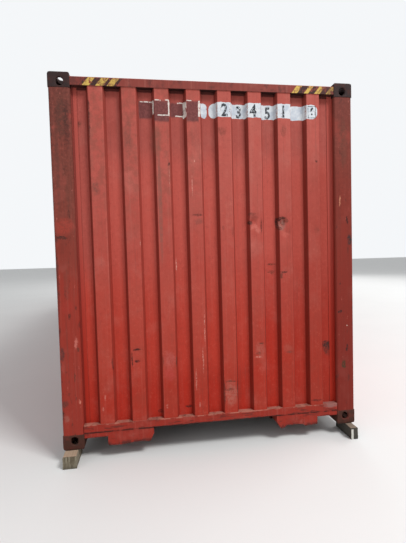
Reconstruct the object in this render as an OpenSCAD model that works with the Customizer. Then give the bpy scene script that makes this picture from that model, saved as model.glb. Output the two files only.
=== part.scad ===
// A forty-foot high-cube shipping container with a gooseneck tunnel, standing on timber blocks.
// Millimetres. X runs along the container, with the blind front end at +X and the doors at -X.
// Z is up from the ground, and left is the -Y side, as someone facing the front end sees it.
// Every level below is measured from the base plane of the corner fittings, then raised by the blocks.

/* [Overall size] */
// Length over the corner fittings
box_l = 12192; // [11900:1:12500]
// Width over the corner fittings
box_w = 2438; // [2400:1:2500]
// Height over the corner fittings
box_h = 2896; // [2591:1:2950]
// How far the posts, rails and sills sit back from the faces of the fittings
recess = 3; // [2:0.5:5]

/* [Corner fittings] */
// Length of a fitting along the container
fit_l = 178; // [170:1:190]
// Width of a fitting across the container
fit_w = 162; // [155:1:170]
// Height of a fitting
fit_h = 118; // [112:1:125]
// Thickness of the horizontal plate that holds the locking aperture
fit_plate = 28.5; // [24:0.5:32]
// Thickness of the two outer walls
fit_wall = 16; // [13:0.5:18]
// Thickness of the inner walls
fit_inner_wall = 12; // [8:0.5:14]
// Radius of the outer edges round the end face
fit_edge_r = 12; // [8:1:16]
// Rounding of a fitting's outer long edge, beside the face with the locking aperture
fit_corner_r = 24; // [12:1:28]
// Radius of the inner edges
fit_inner_edge_r = 6; // [3:0.5:10]
// Length of the locking aperture, along the container
lock_slot_l = 124; // [110:0.5:128]
// Width of the locking aperture
lock_slot_w = 63.5; // [58:0.5:66]
// Distance of the apertures' centre from the end face
slot_from_end = 101.5; // [98:0.5:104]
// Distance of the apertures' centre from the side face
slot_from_side = 89; // [86:0.5:92]
// Height of the end and side apertures' centre from the locking plate's outer face
hole_from_plate = 73; // [70:0.5:74]
// Height of the end and side apertures
hole_h = 63.5; // [55:0.5:64]
// Width of the end aperture
end_hole_w = 51; // [45:0.5:55]
// Width of the side aperture
side_hole_w = 79.5; // [72:0.5:84]
// Corner radius of the side aperture
fit_hole_r = 25.5; // [20:0.5:27]

/* [Front frame] */
// Plate thickness of the corner posts
post_t = 6; // [4:0.5:8]
// Radius of the posts' bends, on the middle of the plate
post_bend_r = 14; // [8:1:18]
// Width of the flange that the front and side walls are welded to
post_flange = 40; // [25:1:60]
// Side of the square tubes of the front header and the front sill
end_tube = 60; // [50:1:70]
// Wall of the header tube
header_t = 3; // [2:0.5:6]
// Wall of the sill tube
sill_t = 4; // [3:0.5:6]
// Setback of both end tubes from the face of the fittings
tube_recess = 4; // [2:0.5:6]
// Distance of both headers' tops below the tops of the fittings
header_drop = 36; // [34:1:56]
// Top of the front sill
sill_top = 185; // [180:1:195]
// Bottom of the sill's lower strip, beside the fittings
sill_strip_bottom = 79; // [60:1:95]
// Width of the lip under the sill's lower strip
sill_strip_lip = 38; // [20:1:50]
// Setback of the strip and the lugs from the face of the sill's tube
strip_setback = 4; // [0:0.5:8]
// Radius of the bends in the frame's plates, on the middle of the plate
frame_bend_r = 7; // [4:0.5:10]

/* [Gooseneck tunnel] */
// Clear width of the tunnel
tunnel_w = 1029; // [1020:1:1040]
// Length of the tunnel from the front face
tunnel_l = 3315; // [3150:1:3500]
// Width of the box-section beam that ends the tunnel
bolster_w = 60; // [50:1:80]
// Plate thickness of the tunnel
tunnel_t = 4; // [3:0.5:6]
// Clearance of the tunnel's flanges and lugs over the base plane
base_clearance = 12.5; // [11:0.5:17.5]
// Distance of a lug's outer side from the middle of the container
lug_outer_y = 877; // [820:1:900]
// Length of a lug along the container
lug_depth = 200; // [150:1:250]
// Plate thickness of the lugs
lug_t = 6; // [4:0.5:8]
// Radius of a lug's bends, on the middle of the plate
lug_bend_r = 8; // [5:0.5:14]
// Width of the chamfer on a lug's lower corner beside the tunnel
lug_chamfer_w = 30; // [12:1:45]
// Height of that chamfer
lug_chamfer_h = 60; // [30:1:75]
// Width of the tunnel's outward feet
tunnel_foot = 44; // [30:1:60]
// Width of a tunnel bow over its feet
bow_w = 140; // [120:1:160]
// Width of a tunnel bow's top
bow_top = 64; // [50:1:80]
// Width of a tunnel bow's sloping side
bow_slope = 10; // [6:1:16]

/* [Front wall] */
// Distance between ribs
front_pitch = 250; // [235:1:252]
// Width of a rib's outer face
front_crest = 110; // [100:1:120]
// Width of a rib's sloping side
front_slope = 18; // [12:1:24]
// Depth of a rib
front_depth = 45.6; // [36:0.2:46]
// Sheet thickness
front_sheet = 2; // [1.5:0.1:3]
// Setback of the ribs from the face of the fittings
front_recess = 10; // [8:0.5:12]
// Radius of the folds in the ribbed sheets, on the middle of the sheet
sheet_bend_r = 6; // [4:0.5:8]

/* [Side walls] */
// Distance between ribs
side_pitch = 278; // [270:1:279]
// Width of a rib's outer face
side_crest = 72; // [60:1:80]
// Width of a rib's sloping side
side_slope = 68; // [55:1:72]
// Depth of a rib
side_depth = 36; // [25:1:36]
// Sheet thickness
side_sheet = 1.6; // [1.2:0.1:2.5]
// Setback of the ribs from the side of the fittings
side_recess = 8; // [6:0.5:8]

/* [Rails] */
// Side of the square tube of the top rails
top_rail = 60; // [50:1:62]
// Wall of the top rails
top_rail_t = 3; // [2:0.5:5]
// Height of the bottom rails
bottom_rail_h = 162; // [158:1:165]
// Plate thickness of the bottom rails
bottom_rail_t = 4.5; // [3:0.5:6]
// Width of the bottom rails' top flange
bottom_rail_top = 48; // [46:1:55]
// Width of the bottom rails' bottom flange
bottom_rail_foot = 30; // [24:1:36]

/* [Roof] */
// Distance of the roof sheet's underside below the tops of the fittings
roof_drop = 28; // [26:1:34]
// Sheet thickness
roof_sheet_t = 2; // [1.5:0.1:3]
// Least length of the flat strip at each end of the roof sheet
roof_margin = 100; // [60:1:150]
// Distance between ribs
roof_pitch = 209; // [190:1:211]
// Width of a rib's top
roof_crest = 91; // [80:1:100]
// Width of a rib's sloping side
roof_slope = 13.5; // [8:0.5:20]
// Height of a rib
roof_rib_h = 20; // [14:1:22]
// Length of the flat plates that cover the front and door headers
roof_end_plate = 332; // [280:1:335]
// Length of the slope from a header plate's low part to its high part
header_ramp = 40; // [30:1:80]
// Thickness of the header plates and the corner plates
header_plate_t = 3; // [2:0.5:4]
// Setback of the roof's edges from the sides of the fittings
roof_setback = 19; // [10:1:30]
// Length of a corner plate behind its fitting
corner_plate_l = 144; // [100:1:150]
// Width of a corner plate
corner_plate_w = 300; // [250:1:320]
// Distance of a corner plate from the roof's edge
corner_plate_inset = 4; // [2:1:10]

/* [Floor] */
// Thickness of the floor boards
board_t = 28; // [24:1:30]
// Level of the floor's top
floor_level = 170; // [168:1:172]
// Joint between two boards
board_joint = 2; // [1:0.5:4]
// Gap between the boards and the bottom rails
board_edge_gap = 3; // [2:0.5:6]
// Rows of boards along the container
board_rows = 5; // [4:1:6]
// Height of the cross members
member_h = 122; // [110:1:125]
// Plate thickness of the cross members
member_t = 4; // [3:0.5:5]
// Width of a cross member's top flange
member_top = 45; // [35:1:55]
// Width of a cross member's bottom flange
member_foot = 40; // [30:1:50]
// Distance between cross members
member_pitch = 305; // [290:1:310]
// Number of outriggers on each side of the tunnel
outrigger_count = 10; // [8:1:10]

/* [Door frame] */
// Width of a rear post beside the door opening
jamb_w = 49; // [48:1:60]
// Height of the door header
door_header_h = 105; // [96:1:120]
// Setback of the rear posts' face from the face of the fittings
rear_post_recess = 44; // [38:1:48]
// Setback of the door header and the door sill
door_frame_recess = 56; // [54:1:60]
// Depth of the door header and the door sill
door_frame_depth = 104; // [96:1:110]
// Plate thickness of the door header and the door sill
door_frame_t = 4.5; // [3:0.5:6]
// Height of the door sill's back leg
door_sill_leg = 84; // [60:1:110]
// Depth of the inner channel of a rear post
channel_d = 113; // [105:1:113]
// Width of the inner channel
channel_w = 40; // [34:1:42]
// Wall of the inner channel
channel_t = 12; // [8:0.5:14]

/* [Doors] */
// Gap round each door leaf
leaf_gap = 5; // [4:0.5:8]
// Setback of the leaves from the face of the fittings
leaf_recess = 58; // [57:0.5:62]
// Thickness of a leaf
leaf_t = 50; // [45:1:55]
// Width of a leaf's upright tubes
stile_w = 100; // [80:1:120]
// Height of a leaf's top and bottom channels
door_rail_h = 150; // [120:1:170]
// Plate thickness of a leaf's frame
leaf_frame_t = 3.2; // [2.5:0.1:5]
// Number of grooves across a leaf's panel
door_grooves = 5; // [4:1:5]
// Width of a groove's floor
door_groove_w = 72; // [60:1:80]
// Width of a groove's sloping side
door_slope = 50; // [40:1:55]
// Depth of a groove
door_groove_d = 36; // [25:1:38]
// Sheet thickness of a leaf's panel
door_sheet = 2; // [1.5:0.1:3]
// Depth of the rubber seal
gasket_d = 30; // [20:1:40]
// Clearance of the rubber seal to the frame
gasket_clear = 0.3; // [0.2:0.1:0.6]
// Distance of the rubber seal from the leaf's inner face
gasket_back = 8; // [2:1:10]

/* [Locking gear] */
// Radius of a lock rod
rod_r = 17; // [14:0.5:19]
// Setback of the rods' axes from the face of the fittings
rod_recess = 34; // [32:0.5:36]
// Distance of the inner rods from the middle
rod_inner_y = 165; // [150:1:200]
// Distance of the outer rods from the leaves' hinged edges
rod_from_edge = 315; // [280:1:340]
// Running clearance of a rod in its brackets
rod_clear = 0.3; // [0.2:0.1:0.6]
// Thickness of a handle's hub round its rod
rod_collar = 4; // [3:0.5:6]
// Height of a rod bracket
bracket_h = 42; // [30:1:60]
// Width of a rod bracket's foot
bracket_w = 112; // [90:1:130]
// Plate thickness of a rod bracket
bracket_t = 6; // [4:0.5:8]
// Length of a handle from its rod
handle_l = 430; // [380:1:460]
// Height of a handle's flat bar
handle_h = 38; // [28:1:45]
// Thickness of a handle's flat bar
handle_t = 9; // [6:0.5:10]
// Height of the hub that carries a handle
handle_hub_h = 54; // [46:1:64]
// How far a handle's bar reaches past its rod
handle_tail = 24; // [20:1:30]
// Width of the tab under a handle
handle_tab_w = 70; // [50:1:80]
// Height of that tab
handle_tab_h = 12; // [8:1:18]
// Distance of that tab from the handle's end
handle_tab_end = 84; // [80:1:120]
// Distance of the handles above and below the middle of their crest
handle_spread = 70; // [60:1:80]
// Distance of a catch from its handle's end
catch_end = 58; // [50:1:60]
// Width of a catch
catch_w = 34; // [26:1:40]
// Plate thickness of a catch
catch_t = 5; // [4:0.5:6]
// Height of a catch's front lip
catch_lip = 28; // [16:1:34]
// Height of a cam
cam_h = 30; // [24:1:36]
// Thickness of a cam
cam_t = 25; // [18:1:28]
// Width of a cam keeper
keeper_w = 96; // [90:1:110]
// Height of a cam keeper
keeper_h = 74; // [66:1:84]
// Walls of a cam keeper beside and in front of its cam
keeper_wall = 9; // [6:0.5:10]
// Plate thickness of a cam keeper behind its cam
keeper_back = 3; // [2:0.5:4]
// Clearance of a rod in its keepers
keeper_clear = 1; // [0.5:0.1:2]
// How far the rods' ends stay inside their keepers
rod_short = 6; // [2:0.5:10]
// Distance of the sill's keepers below the floor
keeper_drop = 24; // [16:1:30]
// Gap between a cam and its keeper
cam_clear = 0.5; // [0.3:0.1:1]

/* [Hinges] */
// Hinges on each leaf
hinge_count = 4; // [3:1:5]
// Radius of a hinge pin
pin_r = 9; // [7:0.5:10]
// Radius of a hinge pin's head
pin_head_r = 14; // [12:0.5:16]
// How far a hinge pin sticks out of its lugs
pin_out = 4; // [2:0.5:6]
// Distance of the hinge pins from the side of the fittings
pin_from_side = 29; // [26:1:32]
// Setback of the hinge pins from the face of the fittings
pin_recess = 26; // [24:1:28]
// Running clearance of a pin in its lugs
pin_clear = 0.3; // [0.2:0.1:0.6]
// Radius of a hinge's barrel
barrel_r = 16; // [14:0.5:17]
// Height of a hinge's barrel
barrel_h = 62; // [50:1:80]
// Thickness of a hinge lug
lug_plate_t = 12; // [8:1:16]
// Thickness of a hinge blade
blade_t = 12; // [8:0.5:12]
// Height of a hinge blade at the leaf
blade_h = 130; // [100:1:160]
// Length of a hinge blade on the leaf
blade_l = 96; // [80:1:110]
// Length of the step between a hinge blade's part on the leaf and the leaf's edge
blade_step = 18; // [14:1:24]
// Height of that step
blade_lift = 15; // [15:1:17]
// Length over which a hinge blade widens
blade_taper = 24; // [16:1:32]
// Clearance of a hinge blade's knee to the post
blade_clear = 2; // [1:0.5:3]

/* [Ventilators] */
// Width of a ventilator
vent_w = 64; // [50:1:68]
// Height of a ventilator
vent_h = 200; // [150:1:260]
// Thickness of a ventilator
vent_t = 20; // [14:1:26]
// Number of louvre slots
vent_slots = 7; // [4:1:9]
// Height of a louvre slot
vent_slot_h = 8; // [5:0.5:9]
// Tilt of the louvre slots
vent_tilt = 30; // [0:5:40]
// Margin beside the louvre slots
vent_margin = 8; // [6:1:12]
// Distance of a ventilator below the top rail
vent_drop = 60; // [40:1:120]

/* [Timber blocks] */
// Height of the blocks under the fittings
block_h = 98; // [60:1:160]
// Width of the blocks on the left side
block_left_w = 106; // [80:1:140]
// Width of the blocks on the right side
block_right_w = 68; // [60:1:140]
// How far the left blocks stick out past the ends
block_left_out = 90; // [40:1:120]
// How far the right blocks stick out past the ends
block_right_out = 91; // [40:1:120]
// Length of a block
block_l = 260; // [200:1:400]
// Setback of the left blocks from the side of the container
block_left_inset = 11; // [0:1:30]
// Setback of the right blocks from the side of the container
block_right_inset = 24; // [0:1:40]
// Chamfer of the blocks' long edges
block_chamfer = 4; // [1:1:10]

/* [Hidden] */
half_l = box_l / 2;
half_w = box_w / 2;
arc_fn = 48;
bend_steps = 3;
fold_steps = 2;
cut = 1;
// Shares of a wall's setback spanned by a post's own leg and by its flange's leg, which lap each other
post_leg = 0.75;
flange_leg = 0.5;

// How many ribs of one width fit in a length at one pitch
function rib_count(length, pitch, width) = floor((length - width) / pitch) + 1;

top_fit_z = box_h - fit_h;
header_top = box_h - header_drop;
header_bottom = header_top - end_tube;
roof_level = box_h - roof_drop;
sill_bottom = sill_top - end_tube;
top_rail_bottom = roof_level - top_rail;
bottom_rail_z = floor_level - board_t - member_h - bottom_rail_t;
bottom_rail_top_z = bottom_rail_z + bottom_rail_h;
member_bottom = bottom_rail_z + bottom_rail_t;
member_top_z = floor_level - board_t;
member_end_y = half_w - recess - bottom_rail_t - frame_bend_r;
rail_half_l = half_l - fit_l;
side_wall_half_l = rail_half_l - post_flange;
side_ribs = rib_count(2 * side_wall_half_l, side_pitch, side_crest + 2 * side_slope);
front_wall_half_w = half_w - fit_w - post_flange;
front_ribs = rib_count(2 * front_wall_half_w, front_pitch, front_crest + 2 * front_slope);
roof_half_l = half_l - tube_recess - roof_end_plate;
roof_half_w = half_w - roof_setback;
roof_ribs = rib_count(2 * (roof_half_l - roof_margin), roof_pitch, roof_crest + 2 * roof_slope);
tunnel_half = tunnel_w / 2;
tunnel_level = sill_bottom;
bow_pitch = tunnel_l / (outrigger_count + 1);
side_flange_y = side_recess + side_depth + side_sheet / 2;
front_flange_x = front_recess + front_depth + front_sheet / 2;
door_frame_back = door_frame_recess + door_frame_depth;
member_count = floor((box_l - tunnel_l - door_frame_back) / member_pitch);
door_top = header_top - door_header_h;
door_half = half_w - jamb_w;
leaf_h = door_top - floor_level - 2 * leaf_gap;
leaf_w = door_half - 2 * leaf_gap;
leaf_edge = leaf_gap + leaf_w;
leaf_bottom = floor_level + leaf_gap;
panel_w = leaf_w - 2 * stile_w;
panel_h = leaf_h - 2 * door_rail_h;
panel_y = leaf_gap + stile_w;
panel_z = leaf_bottom + door_rail_h;
groove_pitch = panel_h / door_grooves;
handle_crest_z = panel_z + floor(door_grooves / 2) * groove_pitch;
rod_x = rod_recess - leaf_recess;
rod_outer_y = leaf_edge - rod_from_edge;
keeper_depth = door_frame_recess - rod_recess + rod_r + keeper_wall;
header_keeper_z = (door_top + header_top) / 2;
sill_keeper_z = floor_level - keeper_h / 2 - keeper_drop;
rod_top = header_keeper_z + keeper_h / 2 - rod_short;
rod_foot = sill_keeper_z - keeper_h / 2 + rod_short;
pin_x = pin_recess - leaf_recess;
pin_y = half_w - pin_from_side;
knuckle_h = barrel_h + 2 * (lug_plate_t + pin_clear);

paint = [0.66, 0.17, 0.12];
paint_shade = [0.56, 0.14, 0.1];
casting_colour = [0.25, 0.18, 0.16];
steel_colour = [0.62, 0.63, 0.62];
rubber_colour = [0.06, 0.06, 0.06];
timber_colour = [0.62, 0.52, 0.4];
plywood_colour = [0.5, 0.34, 0.2];
vent_colour = [0.2, 0.2, 0.2];

// Pressed sections: a centre line with rounded bends, thickened to both sides
function unit(v) = v / norm(v);
function left_of(v) = [-v[1], v[0]];
function bend(a, b, c, r, steps) =
    let (
        u = unit(a - b),
        v = unit(c - b),
        half_turn = acos(u * v) / 2,
        centre = b + unit(u + v) * (r / sin(half_turn)),
        start = b + u * (r / tan(half_turn)) - centre,
        end = b + v * (r / tan(half_turn)) - centre
    )
    [for (k = [0:steps]) centre + r * unit(start * (1 - k / steps) + end * (k / steps))];
function with_bends(path, r, steps) = [
    for (i = [0:len(path) - 1])
        each (i == 0 || i == len(path) - 1) ? [path[i]] : bend(path[i - 1], path[i], path[i + 1], r, steps)
];
function miter(points, i) =
    let (
        before = unit(points[max(i, 1)] - points[max(i, 1) - 1]),
        after = unit(points[min(i, len(points) - 2) + 1] - points[min(i, len(points) - 2)]),
        normal = unit(left_of(before) + left_of(after))
    )
    normal / (normal * left_of(before));
function thickened(points, t) = concat(
    [for (i = [0:len(points) - 1]) points[i] + miter(points, i) * t / 2],
    [for (i = [len(points) - 1:-1:0]) points[i] - miter(points, i) * t / 2]
);
module pressing(path, t, r, steps = bend_steps) {
    polygon(thickened(with_bends(path, r, steps), t));
}

// Centre line of a ribbed sheet along x, with its troughs at y = 0 and its ribs raised to y = depth
function ribbed(half_length, count, pitch, crest, slope, depth) = concat(
    [[-half_length, 0]],
    [for (k = [0:count - 1], side = [-1, 1])
        let (middle = (k - (count - 1) / 2) * pitch)
        each side < 0
            ? [[middle - crest / 2 - slope, 0], [middle - crest / 2, depth]]
            : [[middle + crest / 2, depth], [middle + crest / 2 + slope, 0]]],
    [[half_length, 0]]
);

// Places for parts: raised onto the blocks, at one corner, or along an axis
module on_blocks() {
    translate([0, 0, block_h]) children();
}
// In a corner's own frame, the fitting's outer vertical edge is at the origin, inwards is -x and +y
module at_corner(end, side) {
    mirror([end < 0 ? 1 : 0, 0, 0]) mirror([0, side > 0 ? 1 : 0, 0])
        translate([half_l, -half_w, 0]) children();
}
// Children drawn in x and y become a section in y and z, extruded along x
module along_x(half_length) {
    rotate([90, 0, 90]) linear_extrude(2 * half_length, center = true) children();
}
// Children drawn in x and y become a section in x and z, extruded along y
module along_y(half_length) {
    rotate([90, 0, 0]) linear_extrude(2 * half_length, center = true) children();
}
module slab(from, to) {
    translate(from) cube(to - from);
}
module rounded_plate(w, h, r) {
    if (w > 2 * r) square([w - 2 * r, h], center = true);
    if (h > 2 * r) square([w, h - 2 * r], center = true);
    for (x = w > 2 * r ? [-1, 1] : [0], y = h > 2 * r ? [-1, 1] : [0])
        translate([x * (w / 2 - r), y * (h / 2 - r)]) circle(r, $fn = arc_fn);
}

// Room taken by the eight fittings, cut out of the plates that pass them
module fitting_room() {
    for (end = [-1, 1], side = [-1, 1]) at_corner(end, side) {
        slab([-fit_l, -cut, -cut], [cut, fit_w, fit_h]);
        slab([-fit_l, -cut, top_fit_z], [cut, fit_w, box_h + cut]);
    }
}

// Corner fitting: a hollow casting with a locking aperture, an end aperture and a side aperture
module fitting_outline(w, h, r) {
    intersection() {
        translate([-w / 2, h / 2]) rounded_plate(w, h, fit_inner_edge_r);
        union() {
            translate([-w, -cut]) square([w - r, h + 2 * cut]);
            translate([-w, r]) square([w, h]);
            translate([-r, r]) circle(r, $fn = arc_fn);
        }
    }
}
module casting_block() {
    intersection() {
        linear_extrude(fit_h) fitting_outline(fit_l, fit_w, fit_edge_r);
        translate([-fit_l, 0, 0]) rotate([90, 0, 90]) linear_extrude(fit_l)
            mirror([1, 0]) fitting_outline(fit_w, fit_h, fit_corner_r);
        translate([0, fit_w, 0]) rotate([90, 0, 0]) linear_extrude(fit_w)
            fitting_outline(fit_l, fit_h, fit_edge_r);
    }
}
module casting() {
    difference() {
        casting_block();
        slab([-fit_l + fit_inner_wall, fit_wall, fit_plate],
             [-fit_wall, fit_w - fit_inner_wall, fit_h - fit_inner_wall]);
        translate([-slot_from_end, slot_from_side, -cut]) linear_extrude(fit_plate + 2 * cut)
            rounded_plate(lock_slot_l, lock_slot_w, lock_slot_w / 2);
        translate([-fit_wall - cut, slot_from_side, hole_from_plate]) rotate([90, 0, 90])
            linear_extrude(fit_wall + 2 * cut) rounded_plate(end_hole_w, hole_h, end_hole_w / 2);
        translate([-slot_from_end, fit_wall + cut, hole_from_plate]) rotate([90, 0, 0])
            linear_extrude(fit_wall + 2 * cut) rounded_plate(side_hole_w, hole_h, fit_hole_r);
    }
}
module fitting(end, side, level) {
    color(casting_colour) on_blocks() at_corner(end, side)
        translate([0, 0, level > 0 ? box_h : 0]) mirror([0, 0, level > 0 ? 1 : 0]) casting();
}

// Front corner post: an open pressing with a flange for each wall
module post_flanges(front_flange) {
    mid = post_t / 2;
    difference() {
        union() {
            if (front_flange)
                translate([0, 0, sill_top]) linear_extrude(header_bottom - sill_top)
                    pressing([[-front_flange_x * flange_leg, fit_w - mid], [-front_flange_x, fit_w - mid],
                              [-front_flange_x, fit_w + post_flange]], post_t, frame_bend_r);
            translate([0, 0, bottom_rail_top_z]) linear_extrude(top_rail_bottom - bottom_rail_top_z)
                pressing([[mid - fit_l, side_flange_y * flange_leg], [mid - fit_l, side_flange_y],
                          [-fit_l - post_flange, side_flange_y]], post_t, frame_bend_r);
        }
        slab([-fit_l, -cut, top_fit_z], [cut, fit_w, box_h]);
    }
}
module front_post(side) {
    mid = post_t / 2;
    color(paint_shade) on_blocks() at_corner(1, side) {
        translate([0, 0, fit_h]) linear_extrude(top_fit_z - fit_h)
            pressing([[mid - fit_l, side_flange_y * post_leg], [mid - fit_l, recess + mid],
                      [-recess - mid, recess + mid], [-recess - mid, fit_w - mid],
                      [-front_flange_x * post_leg, fit_w - mid]], post_t, post_bend_r);
        post_flanges(true);
    }
}

// Front wall: ribs standing up, between the flanges of the two posts
module front_wall() {
    color(paint) on_blocks() translate([half_l - front_flange_x, 0, sill_top])
        linear_extrude(header_bottom - sill_top) rotate(-90)
            pressing(ribbed(front_wall_half_w, front_ribs, front_pitch,
                            front_crest, front_slope, front_depth),
                     front_sheet, sheet_bend_r, fold_steps);
}

// Square tube across the front, from its inner to its outer face
module end_tube_section(bottom, t) {
    translate([half_l - tube_recess - end_tube, bottom]) difference() {
        square(end_tube);
        translate([t, t]) square(end_tube - 2 * t);
    }
}
module front_header() {
    color(paint) on_blocks() along_y(half_w - fit_w) end_tube_section(header_bottom, header_t);
}

// Plates over both headers, each stepping up from its header to the roof sheet
module header_plate(end, header_back, header_front) {
    low = header_top + header_plate_t / 2;
    high = roof_level + header_plate_t / 2;
    mirror([end < 0 ? 1 : 0, 0, 0]) along_y(roof_half_w)
        pressing([[half_l - header_front, low], [half_l - header_back, low],
                  [half_l - header_back - header_ramp, high], [roof_half_l, high]],
                 header_plate_t, frame_bend_r);
}
module header_plates() {
    color(paint) on_blocks() difference() {
        union() {
            header_plate(1, tube_recess + end_tube, tube_recess);
            header_plate(-1, door_frame_back, door_frame_recess);
        }
        fitting_room();
    }
}

// Front sill: a square tube with a lipped strip under it, between each fitting and its lug
module front_sill() {
    mid = lug_t / 2;
    face = half_l - tube_recess - strip_setback - mid;
    strip_half = (half_w - fit_w - lug_outer_y) / 2;
    color(paint_shade) on_blocks() {
        along_y(half_w - fit_w) end_tube_section(sill_bottom, sill_t);
        for (side = [-1, 1])
            translate([0, side * (lug_outer_y + strip_half), 0]) along_y(strip_half)
                pressing([[face, sill_bottom], [face, sill_strip_bottom + mid],
                          [face - sill_strip_lip, sill_strip_bottom + mid]], lug_t, frame_bend_r);
    }
}

// Lug beside the tunnel: a pressed trough under the sill, closed by a plate at the front
module tunnel_lug(side) {
    mid = lug_t / 2;
    foot = base_clearance + mid;
    path = [[lug_outer_y - mid, sill_bottom], [lug_outer_y - mid, foot],
            [tunnel_half + lug_chamfer_w + mid, foot], [tunnel_half + mid, foot + lug_chamfer_h],
            [tunnel_half + mid, sill_bottom]];
    color(paint_shade) on_blocks() mirror([0, side < 0 ? 1 : 0, 0])
        translate([half_l - tube_recess - strip_setback, 0, 0]) rotate([90, 0, 90]) {
            translate([0, 0, -lug_depth]) linear_extrude(lug_depth) pressing(path, lug_t, lug_bend_r);
            translate([0, 0, -lug_t]) linear_extrude(lug_t)
                polygon(with_bends(path, lug_bend_r, bend_steps));
        }
}

// Side wall: ribs standing up, between the flanges of the front and rear posts
module side_wall(side) {
    color(paint) on_blocks() mirror([0, side > 0 ? 1 : 0, 0])
        translate([0, side_flange_y - half_w, bottom_rail_top_z])
            linear_extrude(top_rail_bottom - bottom_rail_top_z) mirror([0, 1])
                pressing(ribbed(side_wall_half_l, side_ribs, side_pitch, side_crest, side_slope, side_depth),
                         side_sheet, sheet_bend_r, fold_steps);
}

// Top rail: a square tube between two top fittings
module top_rail_tube(side) {
    color(paint) on_blocks() mirror([0, side > 0 ? 1 : 0, 0]) along_x(rail_half_l)
        translate([recess - half_w, top_rail_bottom]) difference() {
            square(top_rail);
            translate([top_rail_t, top_rail_t]) square(top_rail - 2 * top_rail_t);
        }
}

// Bottom rail: a channel that opens inwards
module bottom_rail(side) {
    mid = bottom_rail_t / 2;
    outer = recess - half_w;
    color(paint_shade) on_blocks() mirror([0, side > 0 ? 1 : 0, 0]) along_x(rail_half_l)
        pressing([[outer + bottom_rail_top, bottom_rail_top_z - mid],
                  [outer + mid, bottom_rail_top_z - mid], [outer + mid, bottom_rail_z + mid],
                  [outer + bottom_rail_foot, bottom_rail_z + mid]], bottom_rail_t, frame_bend_r);
}

// Roof sheet: stamped ribs across a flat sheet, each rib closed by a slope at both ends
module roof_teeth(grow, low, high) {
    along_y(half_w) polygon(concat(
        [[-roof_half_l, low - cut / 2], [-roof_half_l, low]],
        [for (k = [0:roof_ribs - 1])
            let (middle = (k - (roof_ribs - 1) / 2) * roof_pitch,
                 foot = roof_crest / 2 + roof_slope + grow)
            each [[middle - foot, low], [middle - foot + roof_slope, high],
                  [middle + foot - roof_slope, high], [middle + foot, low]]],
        [[roof_half_l, low], [roof_half_l, low - cut / 2]]
    ));
}
module roof_rib_ends(grow, low, high) {
    top_half_w = half_w - recess - top_rail - 2 * roof_rib_h + grow;
    foot_half_w = top_half_w + roof_rib_h;
    along_x(half_l) polygon([[-foot_half_w, low - cut], [-foot_half_w, low], [-top_half_w, high],
                             [top_half_w, high], [foot_half_w, low], [foot_half_w, low - cut]]);
}
module roof_ribs_raised(grow, low, high) {
    intersection() {
        roof_teeth(grow, low, high);
        roof_rib_ends(grow, low, high);
    }
}
module roof_sheet() {
    color(paint) on_blocks() difference() {
        union() {
            slab([-roof_half_l, -roof_half_w, roof_level],
                 [roof_half_l, roof_half_w, roof_level + roof_sheet_t]);
            roof_ribs_raised(0, roof_level + roof_sheet_t, roof_level + roof_sheet_t + roof_rib_h);
        }
        roof_ribs_raised(-roof_sheet_t / 2, roof_level, roof_level + roof_rib_h);
    }
}

// Corner plates: flat guards on the header plates, behind each top fitting
module roof_corner_plates() {
    edge = roof_setback + corner_plate_inset;
    level = roof_level + header_plate_t;
    color(paint_shade) on_blocks() for (end = [-1, 1], side = [-1, 1]) at_corner(end, side)
        slab([-fit_l - corner_plate_l, edge, level],
             [-fit_l, edge + corner_plate_w, level + header_plate_t]);
}

// Floor boards in two rows, laid on the cross members
module floor_boards() {
    front = half_l - tube_recess - end_tube - board_joint;
    back = door_frame_back + board_joint - half_l;
    edge = half_w - recess - bottom_rail_top - board_edge_gap;
    length = (front - back) / board_rows;
    color(plywood_colour) on_blocks()
        for (k = [0:board_rows - 1], side = [-1, 1]) mirror([0, side < 0 ? 1 : 0, 0])
            slab([back + k * length + board_joint / 2, board_joint / 2, member_top_z],
                 [back + (k + 1) * length - board_joint / 2, edge, floor_level]);
}

// Channel section of the cross members and outriggers, with its web at x = 0
module member_section() {
    mid = member_t / 2;
    pressing([[member_top, member_top_z - mid], [mid, member_top_z - mid],
              [mid, member_bottom + mid], [member_foot, member_bottom + mid]], member_t, frame_bend_r);
}
module member_from(x, y_from, y_to) {
    translate([x, (y_from + y_to) / 2, 0]) along_y((y_to - y_from) / 2) member_section();
}
// Box-section beam that ends the tunnel
module tunnel_bolster() {
    translate([half_l - tunnel_l - bolster_w, 0, 0]) along_y(member_end_y) difference() {
        translate([0, member_bottom]) square([bolster_w, member_h]);
        translate([member_t, member_bottom + member_t])
            square([bolster_w - 2 * member_t, member_h - 2 * member_t]);
    }
}
// Cross members behind the tunnel, and shorter ones from the bottom rails to the sides of the tunnel
module cross_members() {
    inner = tunnel_half + tunnel_t;
    color(paint_shade) on_blocks() {
        for (k = [1:member_count])
            member_from(half_l - tunnel_l - k * member_pitch, -member_end_y, member_end_y);
        tunnel_bolster();
        for (k = [1:outrigger_count]) {
            member_from(half_l - k * bow_pitch, -member_end_y, -inner);
            member_from(half_l - k * bow_pitch, inner, member_end_y);
        }
    }
}

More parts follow.
